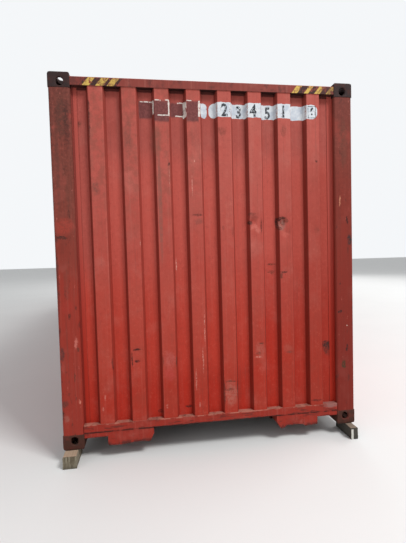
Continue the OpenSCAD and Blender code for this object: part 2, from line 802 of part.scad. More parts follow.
// Tunnel plate: a wide inverted trough with outward feet, behind the sill and between the lugs
module tunnel_plate() {
    mid = tunnel_t / 2;
    foot = tunnel_half + tunnel_foot;
    wall = tunnel_half + mid;
    low = base_clearance + mid;
    high = tunnel_level + mid;
    length = tunnel_l - tube_recess - end_tube;
    color(paint_shade) on_blocks() difference() {
        translate([half_l - tunnel_l + length / 2, 0, 0]) along_x(length / 2)
            pressing([[-foot, low], [-wall, low], [-wall, high], [wall, high], [wall, low], [foot, low]],
                     tunnel_t, frame_bend_r);
        for (side = [-1, 1]) mirror([0, side < 0 ? 1 : 0, 0])
            slab([half_l - tube_recess - strip_setback - lug_depth, tunnel_half - frame_bend_r,
                  base_clearance - cut], [half_l, lug_outer_y, tunnel_level + tunnel_t + cut]);
    }
}
// Hat-section bows between the tunnel plate and the floor
module tunnel_bows() {
    low = tunnel_level + tunnel_t + tunnel_t / 2;
    high = member_top_z - tunnel_t / 2;
    top = bow_top / 2;
    root = top + bow_slope;
    foot = bow_w / 2;
    color(paint_shade) on_blocks() for (k = [1:outrigger_count])
        translate([half_l - k * bow_pitch, 0, 0]) along_y(tunnel_half - frame_bend_r)
            pressing([[-foot, low], [-root, low], [-top, high], [top, high], [root, low], [foot, low]],
                     tunnel_t, tunnel_t);
}

// Rear post: an outer pressing round a heavy inner channel, with the lugs of the hinges on its face
function hinge_level(k) = leaf_bottom + leaf_h * (k + 0.5) / hinge_count;
module hinge_lug(z) {
    translate([0, 0, z]) difference() {
        linear_extrude(lug_plate_t) {
            translate([-pin_recess, pin_from_side]) circle(barrel_r, $fn = arc_fn);
            translate([-rear_post_recess, pin_from_side - barrel_r])
                square([rear_post_recess - pin_recess, 2 * barrel_r]);
        }
        translate([-pin_recess, pin_from_side, -cut])
            cylinder(lug_plate_t + 2 * cut, r = pin_r + pin_clear, $fn = arc_fn);
    }
}
module rear_post(side) {
    mid = post_t / 2;
    face = -rear_post_recess - mid;
    channel_front = fit_l - post_t - channel_d;
    color(paint_shade) on_blocks() at_corner(-1, side) {
        translate([0, 0, fit_h]) linear_extrude(top_fit_z - fit_h) {
            pressing([[mid - fit_l, side_flange_y * post_leg], [mid - fit_l, recess + mid],
                      [face, recess + mid], [face, jamb_w - mid], [-channel_front, jamb_w - mid]],
                     post_t, frame_bend_r);
            translate([-channel_front - channel_d, jamb_w - channel_w]) difference() {
                square([channel_d, channel_w]);
                translate([channel_t, -cut])
                    square([channel_d - 2 * channel_t, channel_w - channel_t + cut]);
            }
        }
        post_flanges(false);
        for (k = [0:hinge_count - 1], edge = [0, 1])
            hinge_lug(hinge_level(k) - knuckle_h / 2 + edge * (knuckle_h - lug_plate_t));
    }
}

// Door header: a box of plate between the top fittings, reaching the posts under them
module door_header() {
    color(paint) on_blocks() difference() {
        along_y(door_half) translate([door_frame_recess - half_l, door_top]) difference() {
            square([door_frame_depth, door_header_h]);
            translate([door_frame_t, door_frame_t])
                square([door_frame_depth - 2 * door_frame_t, door_header_h - 2 * door_frame_t]);
        }
        fitting_room();
    }
}
// Door sill: an open pressing between the bottom fittings, reaching the posts over them
module door_sill() {
    mid = door_frame_t / 2;
    face = door_frame_recess + mid - half_l;
    back = door_frame_back - mid - half_l;
    color(paint_shade) on_blocks() difference() {
        along_y(door_half)
            pressing([[back, member_bottom + mid], [face, member_bottom + mid], [face, floor_level - mid],
                      [back, floor_level - mid], [back, floor_level - door_sill_leg]],
                     door_frame_t, frame_bend_r);
        fitting_room();
    }
}

// A door leaf's own frame: x from its outer face inwards, y from the middle of the doorway
module at_leaf(side) {
    on_blocks() mirror([0, side < 0 ? 1 : 0, 0]) translate([leaf_recess - half_l, 0, 0]) children();
}
module leaf_tube(from_y) {
    translate([0, from_y, leaf_bottom]) linear_extrude(leaf_h) difference() {
        square([leaf_t, stile_w]);
        translate([leaf_frame_t, leaf_frame_t])
            square([leaf_t - 2 * leaf_frame_t, stile_w - 2 * leaf_frame_t]);
    }
}
module door_frame(side) {
    color(paint) at_leaf(side) {
        leaf_tube(leaf_gap);
        leaf_tube(leaf_edge - stile_w);
        for (level = [leaf_bottom, leaf_bottom + leaf_h - door_rail_h])
            translate([0, panel_y + panel_w / 2, level]) along_y(panel_w / 2) difference() {
                square([leaf_t, door_rail_h]);
                translate([leaf_frame_t, leaf_frame_t]) square([leaf_t, door_rail_h - 2 * leaf_frame_t]);
            }
    }
}
// Door panel: a flat sheet with grooves across it, between the frame's members
module door_panel(side) {
    face = door_sheet / 2;
    crest = groove_pitch - door_groove_w - 2 * door_slope;
    path = concat(
        [[face, panel_z]],
        [for (k = [0:door_grooves - 1])
            let (low = panel_z + k * groove_pitch + crest / 2, high = low + door_groove_w + 2 * door_slope)
            each [[face, low], [face + door_groove_d, low + door_slope],
                  [face + door_groove_d, high - door_slope], [face, high]]],
        [[face, panel_z + panel_h]]
    );
    color(paint) at_leaf(side) translate([0, panel_y + panel_w / 2, 0]) along_y(panel_w / 2)
        pressing(path, door_sheet, sheet_bend_r, fold_steps);
}
// Rubber seals round the edges of both leaves
module door_gaskets() {
    grow = leaf_gap - gasket_clear;
    color(rubber_colour) for (side = [-1, 1]) at_leaf(side)
        translate([leaf_t - gasket_d - gasket_back, 0, 0]) difference() {
            slab([0, leaf_gap - grow, leaf_bottom - grow],
                 [gasket_d, leaf_edge + grow, leaf_bottom + leaf_h + grow]);
            slab([-cut, leaf_gap, leaf_bottom], [gasket_d + cut, leaf_edge, leaf_bottom + leaf_h]);
        }
}

// Hinges: a forged blade on the leaf, with its barrel and pin between the lugs of the post
module hinge_blade_plan() {
    mid = blade_t / 2;
    translate([pin_x, pin_y]) circle(barrel_r, $fn = arc_fn);
    pressing([[pin_x, pin_y], [-mid - blade_lift, door_half - blade_clear],
              [-mid, leaf_edge - blade_step], [-mid, leaf_edge - blade_l]], blade_t, blade_t);
}
module hinge_blade_front() {
    barrel_edge = pin_y + barrel_r;
    root = leaf_edge - blade_step;
    tip = leaf_edge - blade_l;
    polygon([[barrel_edge, -barrel_h / 2], [barrel_edge, barrel_h / 2], [root, barrel_h / 2],
             [root - blade_taper, blade_h / 2], [tip, blade_h / 2], [tip, -blade_h / 2],
             [root - blade_taper, -blade_h / 2], [root, -barrel_h / 2]]);
}
module door_hinges() {
    color(paint_shade) for (side = [-1, 1], k = [0:hinge_count - 1]) at_leaf(side)
        translate([0, 0, hinge_level(k)]) {
            intersection() {
                translate([0, 0, -blade_h / 2]) linear_extrude(blade_h) hinge_blade_plan();
                rotate([90, 0, 90]) linear_extrude(4 * leaf_t, center = true) hinge_blade_front();
            }
            translate([pin_x, pin_y, -knuckle_h / 2 - pin_out])
                cylinder(knuckle_h + 2 * pin_out, r = pin_r, $fn = arc_fn);
            translate([pin_x, pin_y, knuckle_h / 2 + pin_clear])
                cylinder(pin_out, r = pin_head_r, $fn = arc_fn);
        }
}

// Lock rods: a pipe with a cam at each end and a flat handle on a hub
module cam(z) {
    translate([rod_x - cam_t / 2, 0, z - cam_h / 2])
        cube([cam_t, keeper_w / 2 - keeper_wall - cam_clear, cam_h]);
}
// The handle's bar lies in front of its rod, sunk into the hub by the hub's thickness
function bar_x() = rod_x - rod_r - handle_t + rod_collar;
module handle(towards) {
    bar_end = handle_l - handle_h / 2;
    mirror([0, towards < 0 ? 1 : 0, 0]) {
        translate([rod_x, 0, -handle_hub_h / 2])
            cylinder(handle_hub_h, r = rod_r + rod_collar, $fn = arc_fn);
        translate([bar_x(), 0, 0]) rotate([90, 0, 90]) linear_extrude(handle_t) {
            translate([-handle_tail, -handle_h / 2]) square([handle_tail + bar_end, handle_h]);
            translate([bar_end, 0]) circle(handle_h / 2, $fn = arc_fn);
            translate([handle_l - handle_tab_end - handle_tab_w, -handle_h / 2 - handle_tab_h])
                square([handle_tab_w, handle_h / 2 + handle_tab_h]);
        }
    }
}
module lock_rod(y, towards, level) {
    translate([0, y, 0]) {
        translate([rod_x, 0, rod_foot]) cylinder(rod_top - rod_foot, r = rod_r, $fn = arc_fn);
        cam(header_keeper_z);
        cam(sill_keeper_z);
        translate([0, 0, level]) handle(towards);
    }
}
module lock_rods(side) {
    color(steel_colour) at_leaf(side) {
        lock_rod(rod_inner_y, 1, handle_crest_z + handle_spread);
        lock_rod(rod_outer_y, -1, handle_crest_z - handle_spread);
    }
}

// Brackets that hold the rods to the leaves, and the catches at the ends of the handles
function bracket_levels() = [
    leaf_bottom + door_rail_h / 2, panel_z + groove_pitch, panel_z + (door_grooves - 2) * groove_pitch,
    leaf_bottom + leaf_h - door_rail_h / 2
];
module rod_bracket() {
    ring_r = rod_r + bracket_t;
    translate([0, 0, -bracket_h / 2]) linear_extrude(bracket_h) difference() {
        union() {
            translate([rod_x, 0]) circle(ring_r, $fn = arc_fn);
            translate([rod_x, -ring_r]) square([-rod_x, 2 * ring_r]);
            translate([-bracket_t, -bracket_w / 2]) square([bracket_t, bracket_w]);
        }
        translate([rod_x, 0]) circle(rod_r + rod_clear, $fn = arc_fn);
    }
}
module handle_catch() {
    mid = catch_t / 2;
    front = bar_x() - mid - rod_clear;
    foot = -handle_h / 2 - mid - rod_clear;
    along_y(catch_w / 2)
        pressing([[-mid, handle_h], [-mid, foot], [front, foot], [front, foot + catch_lip]],
                 catch_t, catch_t);
}
module rod_brackets() {
    reach = handle_l - catch_end;
    color(steel_colour) for (side = [-1, 1]) at_leaf(side) {
        for (y = [rod_inner_y, rod_outer_y], z = bracket_levels()) translate([0, y, z]) rod_bracket();
        translate([0, rod_inner_y + reach, handle_crest_z + handle_spread]) handle_catch();
        translate([0, rod_outer_y - reach, handle_crest_z - handle_spread]) handle_catch();
    }
}

// Keepers on the door header and the door sill, each a slotted block that holds a cam
module cam_keeper(z) {
    face = door_frame_recess - leaf_recess;
    front = face - keeper_depth;
    slot_h = cam_h + 2 * cam_clear;
    slot_half = keeper_w / 2 - keeper_wall;
    room = rod_r + keeper_clear;
    translate([0, 0, z]) difference() {
        slab([front, -keeper_w / 2, -keeper_h / 2], [face, keeper_w / 2, keeper_h / 2]);
        slab([front - cut, -slot_half, -slot_h / 2], [face - keeper_back, slot_half, slot_h / 2]);
        translate([rod_x, 0, -keeper_h]) cylinder(2 * keeper_h, r = room, $fn = arc_fn);
        slab([front - cut, -room, -keeper_h], [rod_x, room, keeper_h]);
    }
}
module cam_keepers() {
    levels = [sill_keeper_z, header_keeper_z];
    color(steel_colour) for (side = [-1, 1], y = [rod_inner_y, rod_outer_y], z = levels)
        at_leaf(side) translate([0, y, 0]) cam_keeper(z);
}

// Ventilators: louvred boxes in the side walls' troughs, near the top
module ventilator(end, side) {
    trough = side_pitch * (side_ribs / 2 - 1);
    level = top_rail_bottom - vent_drop - vent_h;
    face = side_recess + side_depth - vent_t;
    slot_x = vent_w / 2 - vent_margin;
    slot_z = vent_slot_h / 2;
    color(vent_colour) on_blocks() mirror([end < 0 ? 1 : 0, 0, 0]) mirror([0, side > 0 ? 1 : 0, 0])
        translate([trough, -half_w + face, level]) difference() {
            slab([-vent_w / 2, 0, 0], [vent_w / 2, vent_t, vent_h]);
            for (k = [1:vent_slots])
                translate([0, 0, k * vent_h / (vent_slots + 1)]) rotate([vent_tilt, 0, 0])
                    slab([-slot_x, -cut - slot_z, -slot_z], [slot_x, vent_t / 2, slot_z]);
        }
}
module ventilators() {
    ventilator(1, -1);
    ventilator(-1, -1);
    ventilator(1, 1);
    ventilator(-1, 1);
}

// Timber blocks on the ground under the four bottom fittings
module timber_block(w, out, inset) {
    c = block_chamfer;
    h = block_h;
    translate([out - block_l, inset, 0]) rotate([90, 0, 90]) linear_extrude(block_l)
        polygon([[c, 0], [w - c, 0], [w, c], [w, h - c], [w - c, h], [c, h], [0, h - c], [0, c]]);
}
module timber_blocks() {
    color(timber_colour) for (end = [-1, 1]) {
        at_corner(end, -1) timber_block(block_left_w, block_left_out, block_left_inset);
        at_corner(end, 1) timber_block(block_right_w, block_right_out, block_right_inset);
    }
}

fitting(1, -1, 0);  // fitting_front_bottom_left
fitting(1, 1, 0);  // fitting_front_bottom_right
fitting(1, -1, 1);  // fitting_front_top_left
fitting(1, 1, 1);  // fitting_front_top_right
fitting(-1, -1, 0);  // fitting_rear_bottom_left
fitting(-1, 1, 0);  // fitting_rear_bottom_right
fitting(-1, -1, 1);  // fitting_rear_top_left
fitting(-1, 1, 1);  // fitting_rear_top_right
front_post(-1);  // front_post_left
front_post(1);  // front_post_right
tunnel_lug(-1);  // tunnel_lug_left
tunnel_lug(1);  // tunnel_lug_right
side_wall(-1);  // side_wall_left
side_wall(1);  // side_wall_right
top_rail_tube(-1);  // top_rail_left
top_rail_tube(1);  // top_rail_right
bottom_rail(-1);  // bottom_rail_left
bottom_rail(1);  // bottom_rail_right
rear_post(-1);  // rear_post_left
rear_post(1);  // rear_post_right
door_frame(-1);  // door_frame_left
door_frame(1);  // door_frame_right
door_panel(-1);  // door_panel_left
door_panel(1);  // door_panel_right
lock_rods(-1);  // lock_rods_left
lock_rods(1);  // lock_rods_right
front_wall();
front_header();
header_plates();
front_sill();
roof_sheet();
roof_corner_plates();
floor_boards();
cross_members();
tunnel_plate();
tunnel_bows();
door_header();
door_sill();
door_gaskets();
door_hinges();
rod_brackets();
cam_keepers();
ventilators();
timber_blocks();
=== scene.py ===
import math

import bmesh
import bpy
from mathutils import Matrix, Vector, noise


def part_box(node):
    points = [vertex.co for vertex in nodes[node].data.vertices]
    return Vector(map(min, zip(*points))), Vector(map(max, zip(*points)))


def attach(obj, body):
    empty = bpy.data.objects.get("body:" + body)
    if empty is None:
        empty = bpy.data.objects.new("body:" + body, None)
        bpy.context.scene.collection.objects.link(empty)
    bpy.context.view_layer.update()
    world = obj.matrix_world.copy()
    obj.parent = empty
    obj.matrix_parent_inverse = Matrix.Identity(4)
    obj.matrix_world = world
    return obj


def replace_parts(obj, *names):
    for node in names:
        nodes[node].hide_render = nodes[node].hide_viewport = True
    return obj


# Metres. +X is the container's blind front end, +Z up, left is -Y for someone facing that end.
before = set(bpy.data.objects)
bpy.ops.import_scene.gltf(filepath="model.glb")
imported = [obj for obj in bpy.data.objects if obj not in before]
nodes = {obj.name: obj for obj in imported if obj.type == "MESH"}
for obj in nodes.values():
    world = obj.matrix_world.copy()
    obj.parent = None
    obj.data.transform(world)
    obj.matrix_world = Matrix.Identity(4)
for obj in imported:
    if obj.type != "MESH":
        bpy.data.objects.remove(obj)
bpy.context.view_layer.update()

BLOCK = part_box("timber_blocks")[1].z
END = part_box("fitting_front_top_left")[1].x
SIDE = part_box("fitting_front_top_right")[1].y
WALL_LOW, WALL_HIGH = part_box("front_wall")
HEADER_LOW, HEADER_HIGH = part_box("front_header")
LUG_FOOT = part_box("tunnel_lug_left")[0].z
LEAF_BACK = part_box("door_frame_right")[0].x
X, Y, Z = Vector((1, 0, 0)), Vector((0, 1, 0)), Vector((0, 0, 1))


def above_base(z):
    """A height given from the base plane of the fittings, in the part's frame."""
    return BLOCK + z


def in_metres(rows):
    """The rows of a table whose whole numbers are millimetres."""
    return [tuple(v / 1000 if isinstance(v, int) else v for v in row) for row in rows]


# Node trees


def linear(colour):
    """Linear values of a colour given in the usual 0 to 255 steps."""
    return tuple(((v / 255 + 0.055) / 1.055) ** 2.4 if v > 10 else v / 255 / 12.92 for v in colour)


class Tree:
    """Builds a material's nodes with short calls. Sockets and numbers can be mixed freely.

    Three numbers are a colour in 0 to 255 steps. The attribute colour is the paint laid so far.
    """

    def __init__(self, name):
        self.material = bpy.data.materials.new(name)
        self.material.use_nodes = True
        self.nodes = self.material.node_tree.nodes
        self.links = self.material.node_tree.links
        self.shader = self.nodes["Principled BSDF"]
        self.coords = self.new("ShaderNodeTexCoord").outputs["Object"]
        self.x, self.y, self.z = self.parts(self.coords)
        self.colour = None

    def new(self, kind, **settings):
        node = self.nodes.new(kind)
        for key, value in settings.items():
            setattr(node, key, value)
        return node

    def plug(self, value, socket):
        if isinstance(value, bpy.types.NodeSocket):
            self.links.new(value, socket)
        elif isinstance(value, tuple) and len(value) == 3:
            socket.default_value = (*linear(value), 1.0)
        else:
            socket.default_value = value

    def parts(self, vector):
        """The x, y and z of a vector socket."""
        split = self.new("ShaderNodeSeparateXYZ")
        self.links.new(vector, split.inputs[0])
        return split.outputs

    def math(self, operation, *values):
        node = self.new("ShaderNodeMath", operation=operation)
        for value, socket in zip(values, node.inputs):
            self.plug(value, socket)
        return node.outputs[0]

    def plus(self, a, b):
        return self.math("ADD", a, b)

    def minus(self, a, b):
        return self.math("SUBTRACT", a, b)

    def size_of(self, value):
        return self.math("ABSOLUTE", value)

    def reach(self, a, b):
        """The length of a vector with the parts a and b."""
        return self.math("SQRT", self.plus(self.math("POWER", a, 2), self.math("POWER", b, 2)))

    def times(self, *values):
        product = values[0]
        for value in values[1:]:
            product = self.math("MULTIPLY", product, value)
        return product

    def most(self, *values):
        top = values[0]
        for value in values[1:]:
            top = self.math("MAXIMUM", top, value)
        return top

    def step(self, value, low, high):
        """0 where value is at low, 1 at high, eased between. low may be above high."""
        node = self.new("ShaderNodeMapRange", interpolation_type="SMOOTHSTEP")
        for given, socket in zip((value, low, high), node.inputs):
            self.plug(given, socket)
        return node.outputs[0]

    def scaled(self, x, y, z):
        node = self.new("ShaderNodeMapping")
        self.links.new(self.coords, node.inputs["Vector"])
        node.inputs["Scale"].default_value = (x, y, z)
        return node.outputs[0]

    def noise(self, scale, detail=4.0, rough=0.55, vector=None, distortion=0.0):
        node = self.new("ShaderNodeTexNoise")
        self.links.new(vector or self.coords, node.inputs["Vector"])
        node.inputs["Scale"].default_value = scale
        node.inputs["Detail"].default_value = detail
        node.inputs["Roughness"].default_value = rough
        node.inputs["Distortion"].default_value = distortion
        return node.outputs["Fac"]

    def patches(self, low, high, *settings):
        """Patches of noise: 0 where it is at low, 1 at high. The settings are those of noise."""
        return self.step(self.noise(*settings), low, high)

    def ragged(self, scale):
        """Coarse noise about zero, to shift an outline with."""
        return self.minus(self.noise(scale, 5, 0.7), 0.5)

    def mix(self, fac, a, b):
        node = self.new("ShaderNodeMix", data_type="RGBA", clamp_factor=True)
        self.plug(fac, node.inputs[0])
        self.plug(a, node.inputs[6])
        self.plug(b, node.inputs[7])
        return node.outputs[2]

    def lay(self, tint, *masks):
        """Lays a tint over the colour so far, as strongly as the masks' product says."""
        self.colour = self.mix(self.times(*masks), self.colour, tint)

    def ellipse(self, a, b, centre_a, centre_b, radius_a, radius_b, soft):
        """1 inside an ellipse on two coordinates, fading out over the outer part of its radius."""
        da = self.math("DIVIDE", self.minus(a, centre_a), radius_a)
        db = self.math("DIVIDE", self.minus(b, centre_b), radius_b)
        return self.step(self.reach(da, db), 1, 1.0 - soft)

    def band(self, value, low, high, soft):
        """1 from low to high, fading out over soft to both sides of each."""
        above = self.step(value, low - soft, low + soft)
        return self.times(above, self.step(value, high + soft, high - soft))

    def normal(self):
        return self.new("ShaderNodeNewGeometry").outputs["Normal"]

    def edges(self, radius):
        """1 near the shape's sharp edges."""
        bevel = self.new("ShaderNodeBevel", samples=6)
        bevel.inputs["Radius"].default_value = radius
        dot = self.new("ShaderNodeVectorMath", operation="DOT_PRODUCT")
        self.links.new(bevel.outputs[0], dot.inputs[0])
        self.links.new(self.normal(), dot.inputs[1])
        return self.step(self.minus(1, dot.outputs["Value"]), 0.01, 0.12)

    def facing(self, axis, low, high):
        """How far the surface faces one way: axis 0, 1 or 2, eased from low to high."""
        return self.step(self.parts(self.normal())[axis], low, high)

    def bump(self, height, strength, distance, normal=None):
        node = self.new("ShaderNodeBump")
        node.inputs["Strength"].default_value = strength
        node.inputs["Distance"].default_value = distance
        self.links.new(height, node.inputs["Height"])
        if normal:
            self.links.new(normal, node.inputs["Normal"])
        return node.outputs[0]

    def finish(self, roughness, normal=None, metallic=0.0, specular=0.5):
        self.plug(self.colour, self.shader.inputs["Base Color"])
        self.plug(roughness, self.shader.inputs["Roughness"])
        self.shader.inputs["Metallic"].default_value = metallic
        self.shader.inputs["Specular IOR Level"].default_value = specular
        if normal:
            self.links.new(normal, self.shader.inputs["Normal"])
        return self.material


RUST = (74, 44, 34)
RUST_DARK = (44, 28, 26)
CHALK = (188, 128, 116)
GRIME = (88, 62, 54)
TOP_RED = (172, 78, 68)
LOW_RED = (163, 39, 23)
POST_TOP = (118, 54, 44)
POST_LOW = (142, 46, 34)


def red_paint(name, top, bottom, edge_wear, rust, chalk=0.5, extra=None, low=0.55, edge_tint=CHALK):
    """Weathered red paint. It is chalky and pale above, and cleaner and stronger below."""
    t = Tree(name)
    wander = t.minus(t.noise(1.3, 3), 0.5)
    t.colour = t.mix(t.step(t.plus(t.z, wander), low, 2.35), bottom, top)
    # soft clouds of paler and darker paint
    clouds = t.noise(5, 5, 0.6)
    t.lay(t.mix(0.5, top, CHALK), t.step(clouds, 0.5, 0.75), 0.35)
    t.lay(t.mix(0.35, bottom, GRIME), t.step(clouds, 0.48, 0.25), 0.3)
    # runs and rubbed lines down the sheet
    runs = t.noise(1, 3, 0.6, t.scaled(55, 55, 0.9))
    t.lay(CHALK, t.step(runs, 0.5, 0.78), 0.3 * chalk)
    t.lay(GRIME, t.step(runs, 0.47, 0.22), 0.3)
    hair = t.noise(1, 2, 0.5, t.scaled(330, 330, 4))
    t.lay(CHALK, t.step(hair, 0.7, 0.78), t.patches(0.5, 0.65, 2.2, 3), 0.5 * chalk)
    # small chips and rust spots
    spots = t.times(t.patches(0.665, 0.7, 38, 3, 0.6), t.patches(0.5, 0.7, 1.7, 4, 0.6))
    t.lay(RUST, spots, rust)
    # worn and rusted edges
    rubbed = t.noise(16, 4, 0.65)
    edge = t.edges(0.007)
    t.lay(edge_tint, edge, t.step(rubbed, 0.46, 0.6), edge_wear)
    rusty = t.times(edge, t.step(rubbed, 0.47, 0.38), edge_wear)
    t.lay(RUST, rusty)
    marks = t.most(spots, rusty)
    if extra:
        marks = extra(t, marks)
    rough = t.plus(0.6, t.times(t.most(marks, t.times(clouds, 0.5)), 0.32))
    normal = t.bump(t.noise(140, 3, 0.6), 0.15, 0.0006)
    normal = t.bump(t.times(marks, -1), 0.35, 0.0012, normal)
    normal = t.bump(t.noise(3.2, 2, 0.5), 0.25, 0.012, normal)
    return t.finish(rough, normal, specular=0.18)


def new_object(name, mesh, material, smooth_degrees=None):
    """Adds a piece. Edges that bend by less than smooth_degrees are shaded smooth."""
    piece = bpy.data.objects.new(name, mesh)
    bpy.context.scene.collection.objects.link(piece)
    mesh.materials.append(material)
    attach(piece, "root")
    if smooth_degrees is not None:
        for polygon in mesh.polygons:
            polygon.use_smooth = True
        limit = math.radians(smooth_degrees)
        work = bmesh.new()
        work.from_mesh(mesh)
        for edge in work.edges:
            edge.smooth = len(edge.link_faces) == 2 and edge.calc_face_angle(0.0) < limit
        work.to_mesh(mesh)
        work.free()
    return piece


# Front wall: the ribbed sheet again on a fine grid, with its dents

PITCH = 0.25
RIB_COUNT = 8
CREST = 0.11
SLOPE = 0.018
SHEET = 0.002
BEND = 0.006
BEND_STEPS = 4
CELL = 0.011
WALL_ROWS = 140
CREST_X = WALL_HIGH.x - SHEET / 2
TROUGH_X = WALL_LOW.x + SHEET / 2
# The whole sheet ripples, and lies flat near its welded edges
RIPPLE = 0.0018
FLAT_ENDS = 0.12
FLAT_SIDES = 0.1
# Dents in mm, as (y, height over the base plane, half width, half height, depth)
DENTS = in_metres((
    (345, 1762, 46, 30, 22),
    (410, 1745, 30, 70, 14),
    (590, 1742, 34, 46, 30),
    (640, 1640, 55, 70, 10),
    (375, 1640, 55, 90, 5),
    (505, 1370, 45, 50, 6),
    (620, 1340, 50, 40, 6),
    (-110, 1815, 55, 30, 6),
    (-625, 745, 50, 35, 8),
    (-625, 665, 50, 30, 6),
    (-380, 625, 55, 60, 5),
    (130, 330, 55, 100, 8),
    (385, 680, 55, 60, 6),
    (635, 655, 55, 20, 4),
    (875, 1650, 50, 120, 4),
    (-875, 420, 50, 80, 4),
    (-690, 2330, 30, 120, 5),
))


def wall_line():
    """Points across the wall as (y, x), close together at the bends."""
    corners = [(WALL_LOW.y, TROUGH_X)]
    half, foot = CREST / 2, CREST / 2 + SLOPE
    for k in range(RIB_COUNT):
        middle = (k - (RIB_COUNT - 1) / 2) * PITCH
        corners += [(middle - foot, TROUGH_X), (middle - half, CREST_X)]
        corners += [(middle + half, CREST_X), (middle + foot, TROUGH_X)]
    corners.append((WALL_HIGH.y, TROUGH_X))
    line = [Vector(corners[0])]
    for before, corner, after in zip(corners, corners[1:], corners[2:]):
        corner = Vector(corner)
        into = (Vector(before) - corner).normalized()
        out = (Vector(after) - corner).normalized()
        half_angle = into.angle(out) / 2
        reach = BEND / math.tan(half_angle)
        centre = corner + (into + out).normalized() * (BEND / math.sin(half_angle))
        for step in range(BEND_STEPS + 1):
            spoke = (corner + into * reach - centre).lerp(corner + out * reach - centre, step / BEND_STEPS)
            line.append(centre + spoke.normalized() * BEND)
    line.append(Vector(corners[-1]))
    dense = []
    for a, b in zip(line, line[1:]):
        cuts = max(1, round((b - a).length / CELL))
        dense += [a.lerp(b, k / cuts) for k in range(cuts)]
    return dense + [line[-1]]


def noise_at(*place):
    return noise.noise(Vector(place))


def dent_depth(y, z):
    """How far the sheet is pushed in at a point, by its dents and its ripple."""
    depth = 0.0
    for cy, cz, ry, rz, deep in DENTS:
        d = math.hypot((y - cy) / ry, (z - above_base(cz)) / rz)
        if d < 1.6:
            depth += deep * math.exp(-2.2 * d * d) * (1 + 0.5 * noise_at(y * 30, z * 30, cy))
    ripple = noise_at(y * 2.1, z * 1.4, 3.0) + 0.5 * noise_at(y * 9.0, z * 2.5, 8.0)
    from_ends = min(z - WALL_LOW.z, WALL_HIGH.z - z) / FLAT_ENDS
    fade = min(1.0, from_ends, (WALL_HIGH.y - abs(y)) / FLAT_SIDES)
    return depth + max(0.0, fade) * (RIPPLE + RIPPLE * ripple)


def front_wall():
    line = wall_line()
    heights = [WALL_LOW.z + (WALL_HIGH.z - WALL_LOW.z) * k / WALL_ROWS for k in range(WALL_ROWS + 1)]
    normals = []
    for before, after in zip(line[:1] + line[:-1], line[1:] + line[-1:]):
        along = (after - before).normalized()
        normals.append(Vector((-along.y, along.x)))
    vertices, faces = [], []
    across, up = len(line), len(heights)
    for side in (1, -1):
        for z in heights:
            for point, normal in zip(line, normals):
                at = point + normal * side * SHEET / 2
                vertices.append((min(at.y - dent_depth(point.x, z), WALL_HIGH.x), at.x, z))

    def index(layer, row, column):
        return layer * across * up + row * across + column

    def rim(start, end, turned):
        """The sheet's thickness between two points on its edge, each a row and a column."""
        edge = [index(0, *start), index(0, *end), index(1, *end), index(1, *start)]
        faces.append(edge[::-1] if turned else edge)

    for row in range(WALL_ROWS):
        for column in range(across - 1):
            corners = ((row, column), (row, column + 1), (row + 1, column + 1), (row + 1, column))
            faces.append([index(0, *corner) for corner in corners])
            faces.append([index(1, *corner) for corner in reversed(corners)])
    for row in range(WALL_ROWS):
        for column in (0, across - 1):
            rim((row, column), (row + 1, column), column > 0)
    for column in range(across - 1):
        for row in (0, WALL_ROWS):
            rim((row, column + 1), (row, column), row > 0)
    mesh = bpy.data.meshes.new("front_wall_dented")
    mesh.from_pydata(vertices, [], faces)
    mesh.update()
    return mesh


